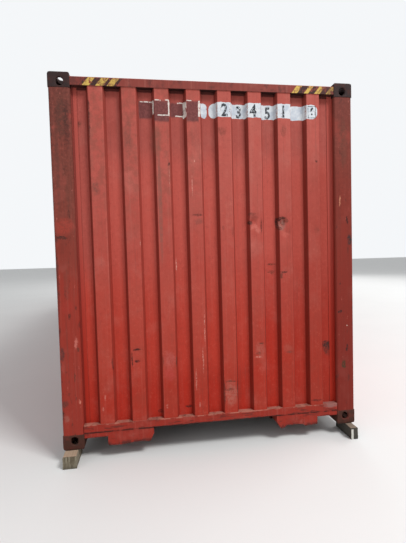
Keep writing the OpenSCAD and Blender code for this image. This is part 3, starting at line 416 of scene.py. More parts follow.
# Marks on the front wall, as y, height over the base plane, half width and half height in mm, colour,
# strength: stains, rust and wear, with painted highlights (the pale marks at y 356, 384 and 624 beside the
# dents) and painted shade (the dark notch at y 324 and the dark line at y 416 on the left dent)
STAINS_AND_DENT_LIGHTING = in_metres((
    (1000, 690, 64, 36, (44, 34, 32), 1.0),
    (1010, 650, 56, 60, (76, 42, 36), 0.8),
    (590, 1728, 34, 60, (142, 100, 90), 0.75),
    (557, 1745, 11, 42, (48, 26, 22), 0.95),
    (572, 1775, 18, 18, (56, 28, 24), 0.9),
    (574, 1698, 20, 14, (70, 34, 28), 0.8),
    (605, 1784, 30, 10, (66, 34, 28), 0.85),
    (630, 1760, 20, 16, RUST, 0.6),
    (338, 1818, 36, 12, (100, 52, 44), 0.7),
    (324, 1748, 22, 16, (64, 32, 26), 0.9),
    (346, 1790, 44, 24, (140, 66, 58), 0.5),
    (416, 1716, 6, 50, (70, 26, 20), 0.9),
    (356, 1712, 38, 22, (200, 112, 100), 0.55),
    (384, 1688, 26, 30, (200, 112, 100), 0.5),
    (624, 1650, 40, 32, (196, 102, 90), 0.4),
    (173, 1674, 12, 40, (120, 54, 46), 0.5),
    (95, 1708, 10, 18, (120, 54, 46), 0.5),
    (510, 1401, 45, 8, RUST, 0.8),
    (509, 1338, 30, 22, RUST, 0.6),
    (601, 1334, 38, 8, RUST_DARK, 0.75),
    (581, 1303, 14, 24, RUST, 0.7),
    (-114, 1817, 45, 9, RUST_DARK, 0.6),
    (-102, 1768, 40, 30, GRIME, 0.4),
    (-630, 757, 32, 10, RUST_DARK, 0.9),
    (-627, 664, 24, 10, RUST_DARK, 0.8),
    (-669, 680, 7, 60, RUST_DARK, 0.85),
    (-821, 657, 7, 45, RUST_DARK, 0.8),
    (-425, 650, 8, 40, RUST, 0.6),
    (-318, 640, 8, 40, RUST, 0.7),
    (-370, 655, 50, 75, (180, 96, 90), 0.4),
    (-373, 545, 50, 60, (176, 66, 62), 0.5),
    (128, 345, 62, 110, (172, 112, 98), 0.45),
    (128, 443, 50, 7, RUST, 0.8),
    (74, 350, 7, 90, RUST_DARK, 0.6),
    (184, 370, 6, 70, RUST_DARK, 0.8),
    (120, 375, 40, 10, RUST, 0.6),
    (386, 690, 48, 70, (172, 108, 96), 0.35),
    (398, 747, 24, 8, RUST, 0.7),
    (372, 660, 26, 12, RUST, 0.6),
    (625, 690, 45, 40, (160, 92, 80), 0.3),
    (640, 655, 30, 10, GRIME, 0.5),
    (-222, 249, 34, 10, RUST_DARK, 0.8),
    (-455, 232, 24, 14, RUST_DARK, 0.7),
    (875, 225, 50, 8, RUST_DARK, 0.6),
    (-328, 2219, 10, 14, RUST_DARK, 0.8),
    (-895, 2027, 30, 60, GRIME, 0.5),
    (-1013, 2525, 30, 30, RUST, 0.6),
    (-928, 2560, 9, 150, RUST_DARK, 0.7),
    (-407, 1900, 16, 420, (110, 82, 72), 0.5),
    (-640, 2420, 30, 200, GRIME, 0.35),
    (-420, 2400, 45, 120, (124, 74, 62), 0.6),
    (-120, 2420, 50, 100, (134, 66, 58), 0.5),
    (100, 2480, 40, 40, RUST, 0.4),
    (620, 2500, 30, 50, RUST, 0.4),
    (900, 2250, 10, 10, RUST_DARK, 0.7),
    (900, 1678, 26, 30, RUST, 0.3),
))
# Pale scrapes in mm, as (y, height, half width, half height, strength)
SCRAPES = in_metres((
    (-292, 1419, 6, 70, 0.9),
    (-573, 1600, 4, 35, 0.7),
    (-80, 900, 5, 200, 0.7),
    (-100, 640, 8, 140, 0.5),
    (-160, 480, 10, 120, 0.4),
    (-888, 390, 10, 30, 0.35),
    (-905, 300, 10, 30, 0.3),
    (-402, 281, 12, 24, 0.35),
    (-137, 272, 10, 24, 0.35),
    (-930, 1380, 3, 100, 0.3),
    (-125, 2240, 5, 18, 0.9),
    (-150, 2050, 6, 120, 0.5),
    (-330, 2100, 3, 160, 0.5),
    (600, 1752, 12, 22, 0.5),
    (370, 630, 40, 10, 0.5),
))
# Painted-out squares, and what is left of their pale borders, in mm, as (low y, high y, low z, high z)
SQUARES = in_metres((
    (-550, -448, 2580, 2712),
    (-432, -317, 2548, 2708),
    (-303, -198, 2596, 2708),
    (-178, -83, 2552, 2712),
))
BORDERS = in_metres((
    (-540, -440, 2706, 2714),
    (-444, -434, 2606, 2708),
    (-430, -378, 2706, 2714),
    (-345, -312, 2709, 2717),
    (-323, -309, 2592, 2712),
    (-407, -315, 2592, 2600),
    (-246, -189, 2705, 2713),
    (-262, -204, 2599, 2609),
    (-203, -180, 2588, 2704),
    (-176, -138, 2709, 2716),
    (-84, -71, 2592, 2712),
))
# The pale strip for the numbers and the short one before it, as (low y, high y), and their heights
STRIPS = ((0.004, 0.915), (-0.072, -0.008))
STRIP_LOW = 2.594
STRIP_HIGH = 2.712
STRIP_ROUND = 0.045
# The troughs are painted dark from here up, as a painted shadow of the header
HEADER_SHADOW_LOW = 2.776
HEADER_SHADOW_HIGH = 2.786


def wall_marks(t, marks):
    z = t.minus(t.z, BLOCK)
    ragged = t.ragged(26)
    ragged_too = t.ragged(21)
    ragged_y = t.plus(t.y, t.times(ragged, 0.022))
    ragged_z = t.plus(z, t.times(ragged_too, 0.024))
    torn_y = t.plus(t.y, t.times(ragged, 0.075))
    torn_z = t.plus(z, t.times(ragged_too, 0.080))
    crest = t.step(t.x, TROUGH_X + 0.012, CREST_X - 0.012)
    trough = t.minus(1, crest)
    # crests are rubbed duller than the troughs between them, more so low down
    rub = t.patches(0.35, 0.65, 7, 4, 0.65)
    low_down = t.step(t.z, 1.7, 0.6)
    dull = t.times(crest, t.plus(0.2, t.times(rub, 0.3)), t.plus(0.55, t.times(low_down, 0.45)))
    t.lay(t.mix(low_down, (150, 80, 70), (146, 54, 40)), dull)
    t.lay((172, 38, 22), trough, low_down, t.patches(0.3, 0.6, 2, 3), 0.5)
    t.lay((184, 80, 68), trough, t.step(t.z, 1.2, 1.7), t.step(t.z, 2.5, 2.1), 0.5)
    # the troughs are duller near the header, and so is the one beside the left post
    beside = t.times(t.step(t.y, -0.9, -0.97), t.step(t.z, 1.3, 1.7))
    t.lay((118, 62, 56), trough, t.most(t.step(t.z, 2.3, 2.5), beside), 0.28)
    # the left side below the middle is brighter, the right side deeper
    bright = t.mix(crest, (190, 70, 54), (172, 70, 56))
    t.lay(bright, t.step(t.y, 0.45, 0.2), t.step(t.z, 0.5, 0.75), t.step(t.z, 1.6, 1.3), 0.3)
    t.lay((134, 42, 29), t.step(t.y, 0.42, 0.95), t.step(t.z, 2.6, 2.1), 0.42)
    # small flecks of dark and pale all over
    fine = t.noise(42, 5, 0.75)
    t.lay((108, 44, 36), t.step(fine, 0.52, 0.68), 0.22)
    t.lay((206, 112, 96), t.step(fine, 0.46, 0.32), 0.16)
    # brown weather on the upper left ribs
    mottle = t.patches(0.42, 0.62, 16, 5, 0.7)
    t.lay((124, 70, 58), crest, t.step(t.y, 0.05, -0.25), t.step(t.z, 1.5, 2.3), mottle, 0.45)
    # the flanks of the ribs are painted a dark deep red as painted shade, darkest on the flank facing -Y
    t.lay((104, 25, 14), t.facing(1, -0.25, -0.6), 0.66)
    t.lay((116, 36, 26), t.facing(1, 0.25, 0.6), 0.55)
    # a thin dark line of dirt lies along each bend
    t.lay((96, 40, 34), t.edges(0.004), t.patches(0.34, 0.58, 30, 4, 0.7), 0.55)
    # a painted shadow of the header lies in the troughs close under it
    t.lay((52, 20, 18), trough, t.step(t.plus(z, t.times(ragged, 0.012)), HEADER_SHADOW_LOW, HEADER_SHADOW_HIGH), 0.82)
    speck = t.patches(0.4, 0.56, 60, 4, 0.7)
    # stains and wear, with the painted highlights and painted shade of the dents
    for cy, cz, ry, rz, tint, strength in STAINS_AND_DENT_LIGHTING:
        if min(ry, rz) > 0.02:
            spot = t.ellipse(torn_y, torn_z, cy, cz, ry * 1.2, rz * 1.2, 0.6)
        else:
            spot = t.ellipse(ragged_y, ragged_z, cy, cz, ry * 1.1, rz * 1.3, 0.4)
        spot = t.times(spot, t.plus(0.4, t.times(speck, 0.6)), strength)
        t.lay(tint, spot)
        if tint in (RUST, RUST_DARK):
            marks = t.most(marks, spot)
    scraped_y = t.plus(t.y, t.times(ragged, 0.010))
    broken = t.patches(0.42, 0.56, 70, 3, 0.7)
    for cy, cz, ry, rz, strength in SCRAPES:
        line = t.ellipse(scraped_y, ragged_z, cy, cz, ry, rz, 0.7)
        t.lay((205, 150, 136), line, broken, strength)
    painted_squares(t, ragged_y, ragged_z)
    number_strips(t, ragged_y, ragged_z, crest, speck)
    return marks


def painted_squares(t, y, z):
    """Squares painted out in brown, with remains of pale borders."""
    fill = t.mix(t.patches(0.4, 0.65, 60, 3), (92, 50, 50), (112, 64, 62))
    for low_y, high_y, low_z, high_z in SQUARES:
        t.lay(fill, t.band(y, low_y, high_y, 0.004), t.band(z, low_z, high_z, 0.012), 0.9)
    worn = t.patches(0.36, 0.46, 48, 4, 0.7)
    for low_y, high_y, low_z, high_z in BORDERS:
        t.lay((214, 206, 198), t.band(y, low_y, high_y, 0.002), t.band(z, low_z, high_z, 0.002), worn)


def number_strips(t, y, z, crest, speck):
    """Pale strips for the numbers, with round ends, flaked at their edges."""
    pale = t.mix(t.patches(0.42, 0.66, 18, 4, 0.6), (208, 214, 218), (182, 192, 202))
    # rust bleeds through where a strip bends over a rib
    flank = t.most(t.facing(1, -0.25, -0.6), t.facing(1, 0.25, 0.6), t.edges(0.006))
    bend = t.times(t.step(t.x, CREST_X - 0.030, CREST_X - 0.006), flank, 0.8)
    pale = t.mix(t.times(bend, speck), pale, (150, 96, 76))
    pale = t.mix(t.times(crest, t.patches(0.6, 0.66, 40, 4, 0.75), 0.7), pale, (120, 84, 72))
    unflaked = t.patches(0.27, 0.33, 34, 5, 0.7)

    def past(value, low, high, inset):
        """How far a value lies past a stretch that is inset at both ends."""
        from_middle = t.size_of(t.minus(value, (low + high) / 2))
        return t.most(t.minus(from_middle, (high - low) / 2 - inset), 0)

    for low_y, high_y in STRIPS:
        inset = min(STRIP_ROUND, (high_y - low_y) / 2 - 0.001)
        out = t.reach(past(y, low_y, high_y, inset), past(z, STRIP_LOW, STRIP_HIGH, inset))
        t.lay(pale, t.step(out, inset, inset - 0.003), unflaked, 0.95)


# Hazard stripes on the header in mm, as (low, high) along the face; all slant the same way
STRIPE_SLANT = 0.78
DARK_FIELDS = in_metres(((-992, -712), (688, 1050)))
YELLOW_STRIPES = in_metres((
    (-970, -918),
    (-870, -814),
    (-786, -736),
    (690, 738),
    (796, 834),
    (886, 934),
    (986, 1030),
))


def header_marks(t, marks):
    slant = t.minus(t.y, t.times(t.minus(t.z, HEADER_LOW.z), STRIPE_SLANT))
    wobble = t.times(t.minus(t.noise(40, 3), 0.5), 0.012)
    slant = t.plus(slant, wobble)
    face = t.step(t.x, HEADER_HIGH.x - 0.004, HEADER_HIGH.x - 0.001)
    flake = t.patches(0.4, 0.48, 36, 4, 0.7)
    for low, high in DARK_FIELDS:
        t.lay((46, 36, 34), t.band(slant, low, high, 0.003), face, flake, 0.9)
    for low, high in YELLOW_STRIPES:
        t.lay((198, 164, 84), t.band(slant, low, high, 0.003), face, flake)
    # soot and rust blotches, most of them beside the fittings
    t.lay((84, 44, 40), t.patches(0.5, 0.66, 15, 5, 0.7), 0.6)
    # the underside is painted near black, as painted shade
    t.lay((30, 15, 14), t.facing(2, -0.3, -0.7), 0.92)
    t.lay((84, 46, 42), t.step(t.size_of(t.y), 0.93, 1.02), t.patches(0.35, 0.55, 24, 4, 0.7), 0.7)
    return marks


# Marks on the front posts, like those on the wall
POST_MARKS = in_metres((
    (1190, 1588, 20, 42, (46, 38, 38), 1.0),
    (1167, 1753, 8, 34, (44, 20, 18), 0.95),
    (1102, 1918, 5, 42, (206, 138, 108), 0.8),
    (1094, 977, 22, 12, RUST_DARK, 0.9),
    (1152, 664, 10, 32, RUST_DARK, 0.9),
    (1122, 520, 16, 36, (48, 50, 30), 0.95),
    (1094, 1223, 10, 10, RUST_DARK, 0.7),
    (1154, 863, 7, 6, (220, 196, 180), 0.9),
    (1140, 2400, 30, 200, (96, 56, 44), 0.5),
    (-1140, 1740, 70, 60, (164, 60, 48), 0.5),
    (-1165, 1653, 44, 14, (48, 34, 30), 1.0),
    (-1175, 1560, 30, 40, (112, 44, 34), 0.5),
    (-1130, 1050, 13, 18, (82, 36, 28), 0.9),
    (-1140, 1120, 40, 60, (168, 50, 42), 0.25),
    (-1078, 1115, 8, 22, (88, 36, 30), 0.8),
    (-1088, 840, 12, 42, (196, 114, 102), 0.7),
    (-1074, 790, 10, 16, (90, 46, 36), 0.9),
    (-1110, 570, 6, 40, (98, 46, 34), 0.8),
    (-1196, 760, 18, 50, (66, 44, 42), 0.85),
    (-1188, 370, 26, 22, (84, 50, 42), 0.85),
    (-1079, 380, 6, 18, (214, 136, 116), 0.8),
    (-1180, 250, 20, 26, (150, 96, 84), 0.5),
    (-1205, 1300, 12, 260, (80, 42, 36), 0.6),
    (-1130, 2560, 40, 160, (74, 48, 40), 0.6),
    (-1090, 2500, 22, 180, RUST_DARK, 0.5),
    (-1170, 2200, 16, 300, (84, 50, 42), 0.5),
    (-1100, 1950, 20, 160, (104, 56, 46), 0.5),
    (-1140, 1300, 20, 120, (104, 54, 44), 0.4),
))
# From the side: the inner end of a post's face, and the corner of the flange behind the left one, which is
# painted dark as painted shade
POST_FACE = 0.1615
LEFT_CORNER_SHADE = 0.174


def post_marks(t, marks):
    z = t.minus(t.z, BLOCK)
    ragged = t.ragged(26)
    torn_y = t.plus(t.y, t.times(ragged, 0.040))
    torn_z = t.plus(z, t.times(t.ragged(21), 0.080))
    # dark runs down from the fittings, and brown weather near the top
    runs = t.noise(1, 4, 0.6, t.scaled(70, 70, 1.6))
    weather = t.plus(0.3, t.times(t.step(t.z, 1.2, 2.1), 0.7))
    t.lay((86, 46, 38), t.step(runs, 0.5, 0.68), weather, 0.55)
    t.lay((92, 52, 44), t.step(t.plus(z, t.times(ragged, 0.5)), 2.2, 2.8), 0.6)
    fine = t.noise(46, 5, 0.75)
    higher = t.plus(0.08, t.times(t.step(t.z, 1.5, 2.3), 0.92))
    t.lay((78, 38, 32), t.step(fine, 0.5, 0.64), higher, 0.45)
    t.lay((168, 84, 72), t.step(fine, 0.46, 0.34), higher, 0.35)
    # bright paint shows again where it was touched up
    t.lay((152, 56, 46), t.patches(0.56, 0.66, 5, 4, 0.6), 0.4)
    # the right post is deeper in colour, most of all low down
    deeper = t.plus(0.35, t.times(t.step(t.z, 2.5, 1.9), 0.25))
    deep_red = t.mix(t.step(t.z, 1.8, 0.7), (112, 38, 28), (96, 24, 16))
    t.lay(deep_red, t.step(t.y, 1, 1.06), deeper)
    # the left post is duller between its upper third and its middle
    t.lay((90, 56, 46), t.step(t.y, -1, -1.06), t.step(t.z, 1.35, 1.6), t.step(t.z, 2.55, 2.3), 0.3)
    speck = t.patches(0.4, 0.56, 60, 4, 0.7)
    front = t.step(t.x, 5.5, 5.6)
    for cy, cz, ry, rz, tint, strength in POST_MARKS:
        spot = t.ellipse(torn_y, torn_z, cy, cz, ry * 1.3, rz * 1.3, 0.5)
        t.lay(tint, spot, t.plus(0.4, t.times(speck, 0.6)), front, strength)
    # knocks along the outer edge
    knocks = t.patches(0.55, 0.64, 1, 4, 0.7, t.scaled(30, 30, 14))
    t.lay((58, 34, 30), front, t.step(t.size_of(t.y), SIDE - 0.028, SIDE - 0.012), knocks, 0.75)
    t.lay((78, 38, 32), front, t.patches(0.6, 0.67, 1, 5, 0.7, t.scaled(22, 22, 9)), 0.6)
    t.lay((196, 112, 100), front, t.patches(0.64, 0.7, 1, 5, 0.75, t.scaled(34, 34, 12)), 0.5)
    # the flange behind the post's face is painted and weathered like the wall beside it
    inside = t.step(t.size_of(t.y), SIDE - POST_FACE + 0.001, SIDE - POST_FACE - 0.001)
    flange = t.times(front, inside, t.step(t.x, END - 0.030, END - 0.036))
    t.lay(t.mix(t.step(t.z, 0.55, 2.35), LOW_RED, TOP_RED), flange)
    # the corner of the flange beside the left post's face is painted dark, as painted shade
    t.lay((86, 28, 22), flange, t.step(t.y, LEFT_CORNER_SHADE + 0.002 - SIDE, LEFT_CORNER_SHADE - 0.002 - SIDE), 0.6)
    return marks


# Heights on the sill, over the base plane: the seam under its lip, the lip, and the foot
SILL_SEAM = (0.116, 0.130)
SILL_LIP = (0.174, 0.182)
SILL_FOOT = (0.050, 0.020)


def sill_marks(t, marks):
    """Chalk and grit on the ledge at the foot of the wall, dark seams, and a scraped end."""
    z = t.minus(t.z, BLOCK)
    ragged = t.ragged(24)
    ragged_z = t.plus(z, t.times(ragged, 0.016))
    front = t.step(t.x, 5.9, 6)
    patchy = t.patches(0.36, 0.52, 17, 4, 0.7)
    ledge = t.times(front, t.facing(2, 0.5, 0.8))
    t.lay((160, 110, 96), ledge, t.plus(0.35, t.times(patchy, 0.65)), 0.85)
    t.lay((62, 40, 36), ledge, t.patches(0.5, 0.6, 26, 4, 0.7), 0.8)
    t.lay((176, 112, 96), front, t.step(ragged_z, *SILL_LIP), t.patches(0.46, 0.56, 13, 4, 0.7), 0.8)
    seam = t.band(ragged_z, *SILL_SEAM, 0.005)
    t.lay((56, 28, 24), front, seam, t.patches(0.38, 0.5, 13, 4, 0.7), 0.9)
    scuffs = t.patches(0.53, 0.62, 1, 5, 0.7, t.scaled(7, 7, 40))
    t.lay((80, 36, 30), front, t.band(z, 0.060, 0.185, 0.010), scuffs, 0.7)
    torn_y = t.plus(t.y, t.times(ragged, 0.05))
    torn_z = t.plus(z, t.times(ragged, 0.05))
    scrape = t.ellipse(torn_y, torn_z, 1.000, 0.176, 0.085, 0.030, 0.5)
    t.lay((142, 96, 90), front, scrape, t.plus(0.4, t.times(patchy, 0.6)), 0.85)
    foot = t.step(t.plus(z, t.times(ragged, 0.02)), *SILL_FOOT)
    t.lay((64, 34, 30), front, foot, t.patches(0.38, 0.56, 14, 4, 0.7), 0.8)
    return marks


def plain_metal(name, colour, worn, rough):
    t = Tree(name)
    cloud = t.noise(30, 4, 0.6)
    t.colour = t.mix(t.step(cloud, 0.35, 0.65), colour, worn)
    t.lay(RUST, t.edges(0.004), t.patches(0.4, 0.6, 25, 4), 0.5)
    normal = t.bump(t.noise(160, 3), 0.2, 0.0005)
    return t.finish(t.plus(rough, t.times(cloud, 0.2)), normal, metallic=0.6)


def casting_paint():
    t = Tree("casting_worn")
    upper = t.step(t.z, 1, 2.2)
    t.colour = t.mix(upper, (66, 38, 29), (48, 33, 32))
    cloud = t.noise(22, 5, 0.65)
    t.lay((84, 44, 37), t.step(cloud, 0.48, 0.7), 0.5)
    t.lay((40, 32, 31), t.step(cloud, 0.45, 0.3), 0.7)
    t.lay((116, 44, 36), t.patches(0.52, 0.66, 9, 4, 0.65), t.minus(1, upper), 0.55)
    t.lay((104, 74, 64), t.edges(0.006), t.patches(0.46, 0.62, 40, 4), 0.5)
    normal = t.bump(t.noise(90, 4, 0.6), 0.35, 0.0012)
    return t.finish(t.plus(0.6, t.times(cloud, 0.25)), normal, specular=0.2)


def rubber():
    t = Tree("seal_rubber")
    cloud = t.noise(30, 4)
    t.colour = t.mix(t.step(cloud, 0.4, 0.7), (34, 33, 33), (56, 53, 51))
    return t.finish(t.plus(0.6, t.times(cloud, 0.2)), t.bump(t.noise(120, 3), 0.2, 0.0006))


def plywood():
    t = Tree("floor_plywood")
    grain = t.noise(1, 5, 0.6, t.scaled(3, 90, 90), 0.6)
    t.colour = t.mix(t.step(grain, 0.35, 0.68), (104, 68, 44), (146, 104, 70))
    dirt = t.noise(3, 5, 0.65)
    t.lay((74, 58, 46), t.step(dirt, 0.45, 0.7), 0.6)
    return t.finish(t.plus(0.55, t.times(dirt, 0.25)), t.bump(grain, 0.2, 0.001), specular=0.3)


def timber(name, light, dark, end_light):
    """Weathered rough-sawn timber with its grain along the block, and checks in the end faces."""
    t = Tree(name)
    grain = t.noise(1, 6, 0.65, t.scaled(5, 120, 120), 0.8)
    t.colour = t.mix(t.step(grain, 0.33, 0.68), dark, light)
    normal_x, _, normal_z = t.parts(t.normal())
    end = t.step(t.size_of(normal_x), 0.6, 0.9)
    checks = t.noise(1, 4, 0.6, t.scaled(40, 95, 11), 0.5)
    t.lay(t.mix(t.step(checks, 0.4, 0.62), (92, 82, 66), end_light), end)
    # the tops are painted paler, as painted light from above
    upward = t.step(normal_z, 0.6, 0.9)
    t.lay((184, 154, 130), upward, 0.6)
    # darker towards the foot, over the lowest 35 mm
    t.lay((70, 64, 56), t.step(t.z, 0.035, 0), 0.6)
    # the right blocks are darker, and their sides and ends darker still as painted shade, with a pale split
    # on one end
    right_blocks = t.step(t.y, -0.1, 0.1)
    t.lay((70, 68, 66), right_blocks, 0.55)
    t.lay((54, 52, 49), right_blocks, t.minus(1, upward), 0.7)
    ragged = t.times(t.minus(t.noise(60, 3), 0.5), 0.008)
    split = t.times(end, t.band(t.plus(t.y, ragged), 1.1345, 1.1535, 0.002), t.step(t.z, 0.088, 0.082))
    t.lay((206, 204, 196), split, t.step(t.x, 6, 6.1), 0.9)
    return t.finish(0.85, t.bump(t.mix(end, grain, checks), 0.5, 0.002), specular=0.2)


def vent_plastic():
    t = Tree("vent_cover")
    cloud = t.noise(20, 4)
    t.colour = t.mix(t.step(cloud, 0.35, 0.7), (120, 46, 36), (150, 74, 62))
    return t.finish(t.plus(0.5, t.times(cloud, 0.25)), t.bump(t.noise(200, 3), 0.15, 0.0004))


wall_paint = red_paint("wall_red", TOP_RED, LOW_RED, 0.25, 0.45, extra=wall_marks)
side_paint = red_paint("side_red", TOP_RED, LOW_RED, 0.25, 0.6)
post_paint = red_paint("post_red", POST_TOP, POST_LOW, 0.6, 0.9, 0.4, post_marks, low=1.3,
                       edge_tint=(110, 60, 50))
sill_paint = red_paint("sill_red", POST_LOW, (144, 42, 30), 0.8, 0.8, extra=sill_marks,
                       edge_tint=(104, 52, 42))
header_paint = red_paint("header_red", (128, 58, 50), POST_LOW, 0.8, 0.8, extra=header_marks,
                         edge_tint=(88, 48, 44))
frame_paint = red_paint("frame_red", (150, 66, 56), (146, 48, 36), 0.6, 0.8)
under_paint = red_paint("under_dark", (84, 52, 46), (58, 44, 40), 0.3, 0.8, chalk=0.1)
roof_paint = red_paint("roof_red", (170, 92, 82), (150, 60, 48), 0.3, 1.0, chalk=0.9)
castings = casting_paint()
galvanised = plain_metal("rod_zinc", (150, 148, 144), (116, 108, 102), 0.45)

# The finish of the CAD nodes whose names start so; the others are painted as the frame
FINISHES = (
    ("fitting", castings),
    (("front_post", "rear_post"), post_paint),
    (("side_wall", "door_panel"), side_paint),
    (("front_sill", "tunnel_lug", "bottom_rail", "door_sill"), sill_paint),
    ("front_header", header_paint),
    (("cross_members", "tunnel_plate", "tunnel_bows"), under_paint),
    (("roof", "header_plates"), roof_paint),
    (("lock_rods", "rod_brackets", "cam_keepers"), galvanised),
    ("door_gaskets", rubber()),
    ("floor_boards", plywood()),
    ("ventilators", vent_plastic()),
)
for name in nodes:
    finish = next((paint for start, paint in FINISHES if name.startswith(start)), frame_paint)
    nodes[name].data.materials.clear()
    nodes[name].data.materials.append(finish)

wall_piece = new_object("front_wall_dented", front_wall(), wall_paint, 40)
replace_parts(wall_piece, "front_wall")


# Plain digits on the pale strip, one on each rib and trough, as (digit, y, height)

DIGITS = (("2", 0.127, 0.097), ("3", 0.253, 0.090), ("4", 0.365, 0.098), ("5", 0.498, 0.092),
          ("1", 0.620, 0.096), ("6", 0.866, 0.076))
DIGIT_MIDDLE = above_base(2.652)
DIGIT_SIZE = 1.4
DIGIT_WIDTH = 0.78
DIGIT_BOLD = 0.0038
# The thin box round the last digit
FRAME_Y = (0.832, 0.902)
FRAME_Z = (above_base(2.604), above_base(2.700))
FRAME_LINE = 0.004
# How far in front of the sheet the digits and the box lie
DIGIT_OUT = 0.0009
FRAME_OUT = 0.0008


def digit_paint():
    t = Tree("digit_black")
    flaked = t.patches(0.4, 0.47, 75, 4, 0.7)
    t.colour = t.mix(flaked, (190, 196, 202), (40, 42, 48))
    return t.finish(t.plus(0.5, t.times(flaked, 0.2)), t.bump(flaked, 0.2, 0.0004), specular=0.3)


def wall_face(y, z):
    """The x of the dented sheet's outer face on a rib or in a trough."""
    nearest = round(y / PITCH - 0.5) * PITCH + PITCH / 2
    on_rib = abs(y - nearest) < CREST / 2 + SLOPE / 2
    face = WALL_HIGH.x if on_rib else WALL_LOW.x + SHEET
    return min(face - dent_depth(y, z), WALL_HIGH.x)


def written(work, mesh):
    work.to_mesh(mesh)
    work.free()
    return mesh


def digit_mesh(digit, height):
    curve = bpy.data.curves.new("digit", "FONT")
    curve.body = digit
    curve.align_x = "CENTER"
    curve.size = height * DIGIT_SIZE
    curve.offset = DIGIT_BOLD
    shape = bpy.data.objects.new("digit", curve)
    bpy.context.scene.collection.objects.link(shape)
    depsgraph = bpy.context.evaluated_depsgraph_get()
    mesh = bpy.data.meshes.new_from_object(shape.evaluated_get(depsgraph))
    bpy.data.objects.remove(shape)
    return mesh


def add_digits():
    work = bmesh.new()
    for digit, y, height in DIGITS:
        mesh = digit_mesh(digit, height)
        for vertex in mesh.vertices:
            up = DIGIT_MIDDLE - height / 2 + vertex.co.y
            vertex.co = (wall_face(y, up) + DIGIT_OUT, y + vertex.co.x * DIGIT_WIDTH, up)
        work.from_mesh(mesh)
    (low_y, high_y), (low_z, high_z) = FRAME_Y, FRAME_Z
    bars = ((low_y, high_y, low_z, low_z + FRAME_LINE), (low_y, high_y, high_z - FRAME_LINE, high_z),
            (low_y, low_y + FRAME_LINE, low_z, high_z), (high_y - FRAME_LINE, high_y, low_z, high_z))
    middle_y = (low_y + high_y) / 2
    for y0, y1, z0, z1 in bars:
        corners = ((y0, z0), (y1, z0), (y1, z1), (y0, z1))
        work.faces.new([work.verts.new((wall_face(middle_y, z) + FRAME_OUT, y, z)) for y, z in corners])
    mesh = written(work, bpy.data.meshes.new("strip_digits"))
    new_object("strip_digits", mesh, digit_paint())


add_digits()


# Bent lugs and rough timber: the same shapes cut finer, then pushed about a little

NEAR = 0.00001


def copied(name):
    """A copy of a CAD node's mesh without its finish, and a bmesh of it with joined corners."""
    mesh = nodes[name].data.copy()
    mesh.materials.clear()
    work = bmesh.new()
    work.from_mesh(mesh)
    bmesh.ops.remove_doubles(work, verts=work.verts, dist=NEAR)
    return mesh, work


def refined(name, longest):
    """A copy of a CAD node's mesh, cut until no edge is too long, with 7 rounds at most."""
    mesh, work = copied(name)
    for _ in range(7):
        long_edges = [edge for edge in work.edges if edge.calc_length() > longest]
        if not long_edges:
            break
        bmesh.ops.subdivide_edges(work, edges=long_edges, cuts=1)
        bmesh.ops.triangulate(work, faces=[face for face in work.faces if len(face.verts) > 3])
    return written(work, mesh)


def between(value, points):
    """Eased value along a list of (place, value)."""
    if value <= points[0][0]:
        return points[0][1]
    for (a, va), (b, vb) in zip(points, points[1:]):
        if value <= b:
            f = (value - a) / (b - a)
            return va + (vb - va) * f * f * (3 - 2 * f)
    return points[-1][1]


# How far the foot is bent up, and pushed back, along each lug in mm, as (distance from the middle, amount)
LIFT_LEFT = in_metres(((515, 0), (560, 1), (620, 4), (680, 3), (760, -4), (820, -4), (880, 0)))
LIFT_RIGHT = in_metres(((515, 0), (575, 0), (612, 16), (680, 13), (752, 11), (764, 2), (820, 1), (880, 4)))
PUSH_LEFT = in_metres(((515, 1), (600, 4), (700, 2), (780, -2), (880, 0)))
PUSH_RIGHT = in_metres(((540, -3), (580, -1), (615, 12), (690, 16), (752, 13), (762, 1), (880, 2)))
# The bend fades out over this height above the foot, and this far behind the lug's face
BEND_HEIGHT = 0.075
BEND_DEPTH = 0.10
LUG_WOBBLE = 0.0012


def bend_lug(mesh, lift, push):
    for vertex in mesh.vertices:
        x, y, z = vertex.co
        low = max(0.0, 1 - (z - LUG_FOOT) / BEND_HEIGHT)
        front = max(0.0, 1 - (HEADER_HIGH.x - x) / BEND_DEPTH)
        out = abs(y)
        wobble = LUG_WOBBLE * noise_at(x * 18, out * 26, z * 14)
        vertex.co.z += (between(out, lift) * (0.35 + 0.65 * front) + wobble) * low
        vertex.co.x -= between(out, push) * low * front + wobble * front


def rough_block(mesh, seed, depth):
    """Wears the blocks inwards, except under the fittings that stand on them."""
    normals = [vertex.normal.copy() for vertex in mesh.vertices]
    for vertex, normal in zip(mesh.vertices, normals):
        x, y, z = vertex.co
        sawn = 0.5 + 0.5 * noise_at(x * 6, y * 70, z * 70 + seed)
        worn = 0.5 + 0.5 * noise_at(x * 22 + seed, y * 22, z * 22)
        inward = depth * (0.5 * sawn + worn)
        vertex.co.y -= inward * normal.y * 1.3
        if abs(normal.x) > 0.3:
            vertex.co.x -= inward * normal.x
        if normal.z > 0.3 and abs(x) > END + 0.006:
            vertex.co.z -= inward * 0.7


for side, lift, push in (("left", LIFT_LEFT, PUSH_LEFT), ("right", LIFT_RIGHT, PUSH_RIGHT)):
    name = "tunnel_lug_" + side
    lug_mesh = refined(name, 0.012)
    bend_lug(lug_mesh, lift, push)
    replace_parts(new_object(name + "_bent", lug_mesh, sill_paint, 32), name)

block_mesh = refined("timber_blocks", 0.011)
rough_block(block_mesh, 4.0, 0.0035)
block_paint = timber("block_timber", (150, 140, 122), (104, 94, 78), (138, 130, 112))
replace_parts(new_object("timber_rough", block_mesh, block_paint, 50), "timber_blocks")


# Fittings: the castings' end and side apertures get rounded outer rims, and their long edges are rounded

FITTING_WIDTH = 0.162
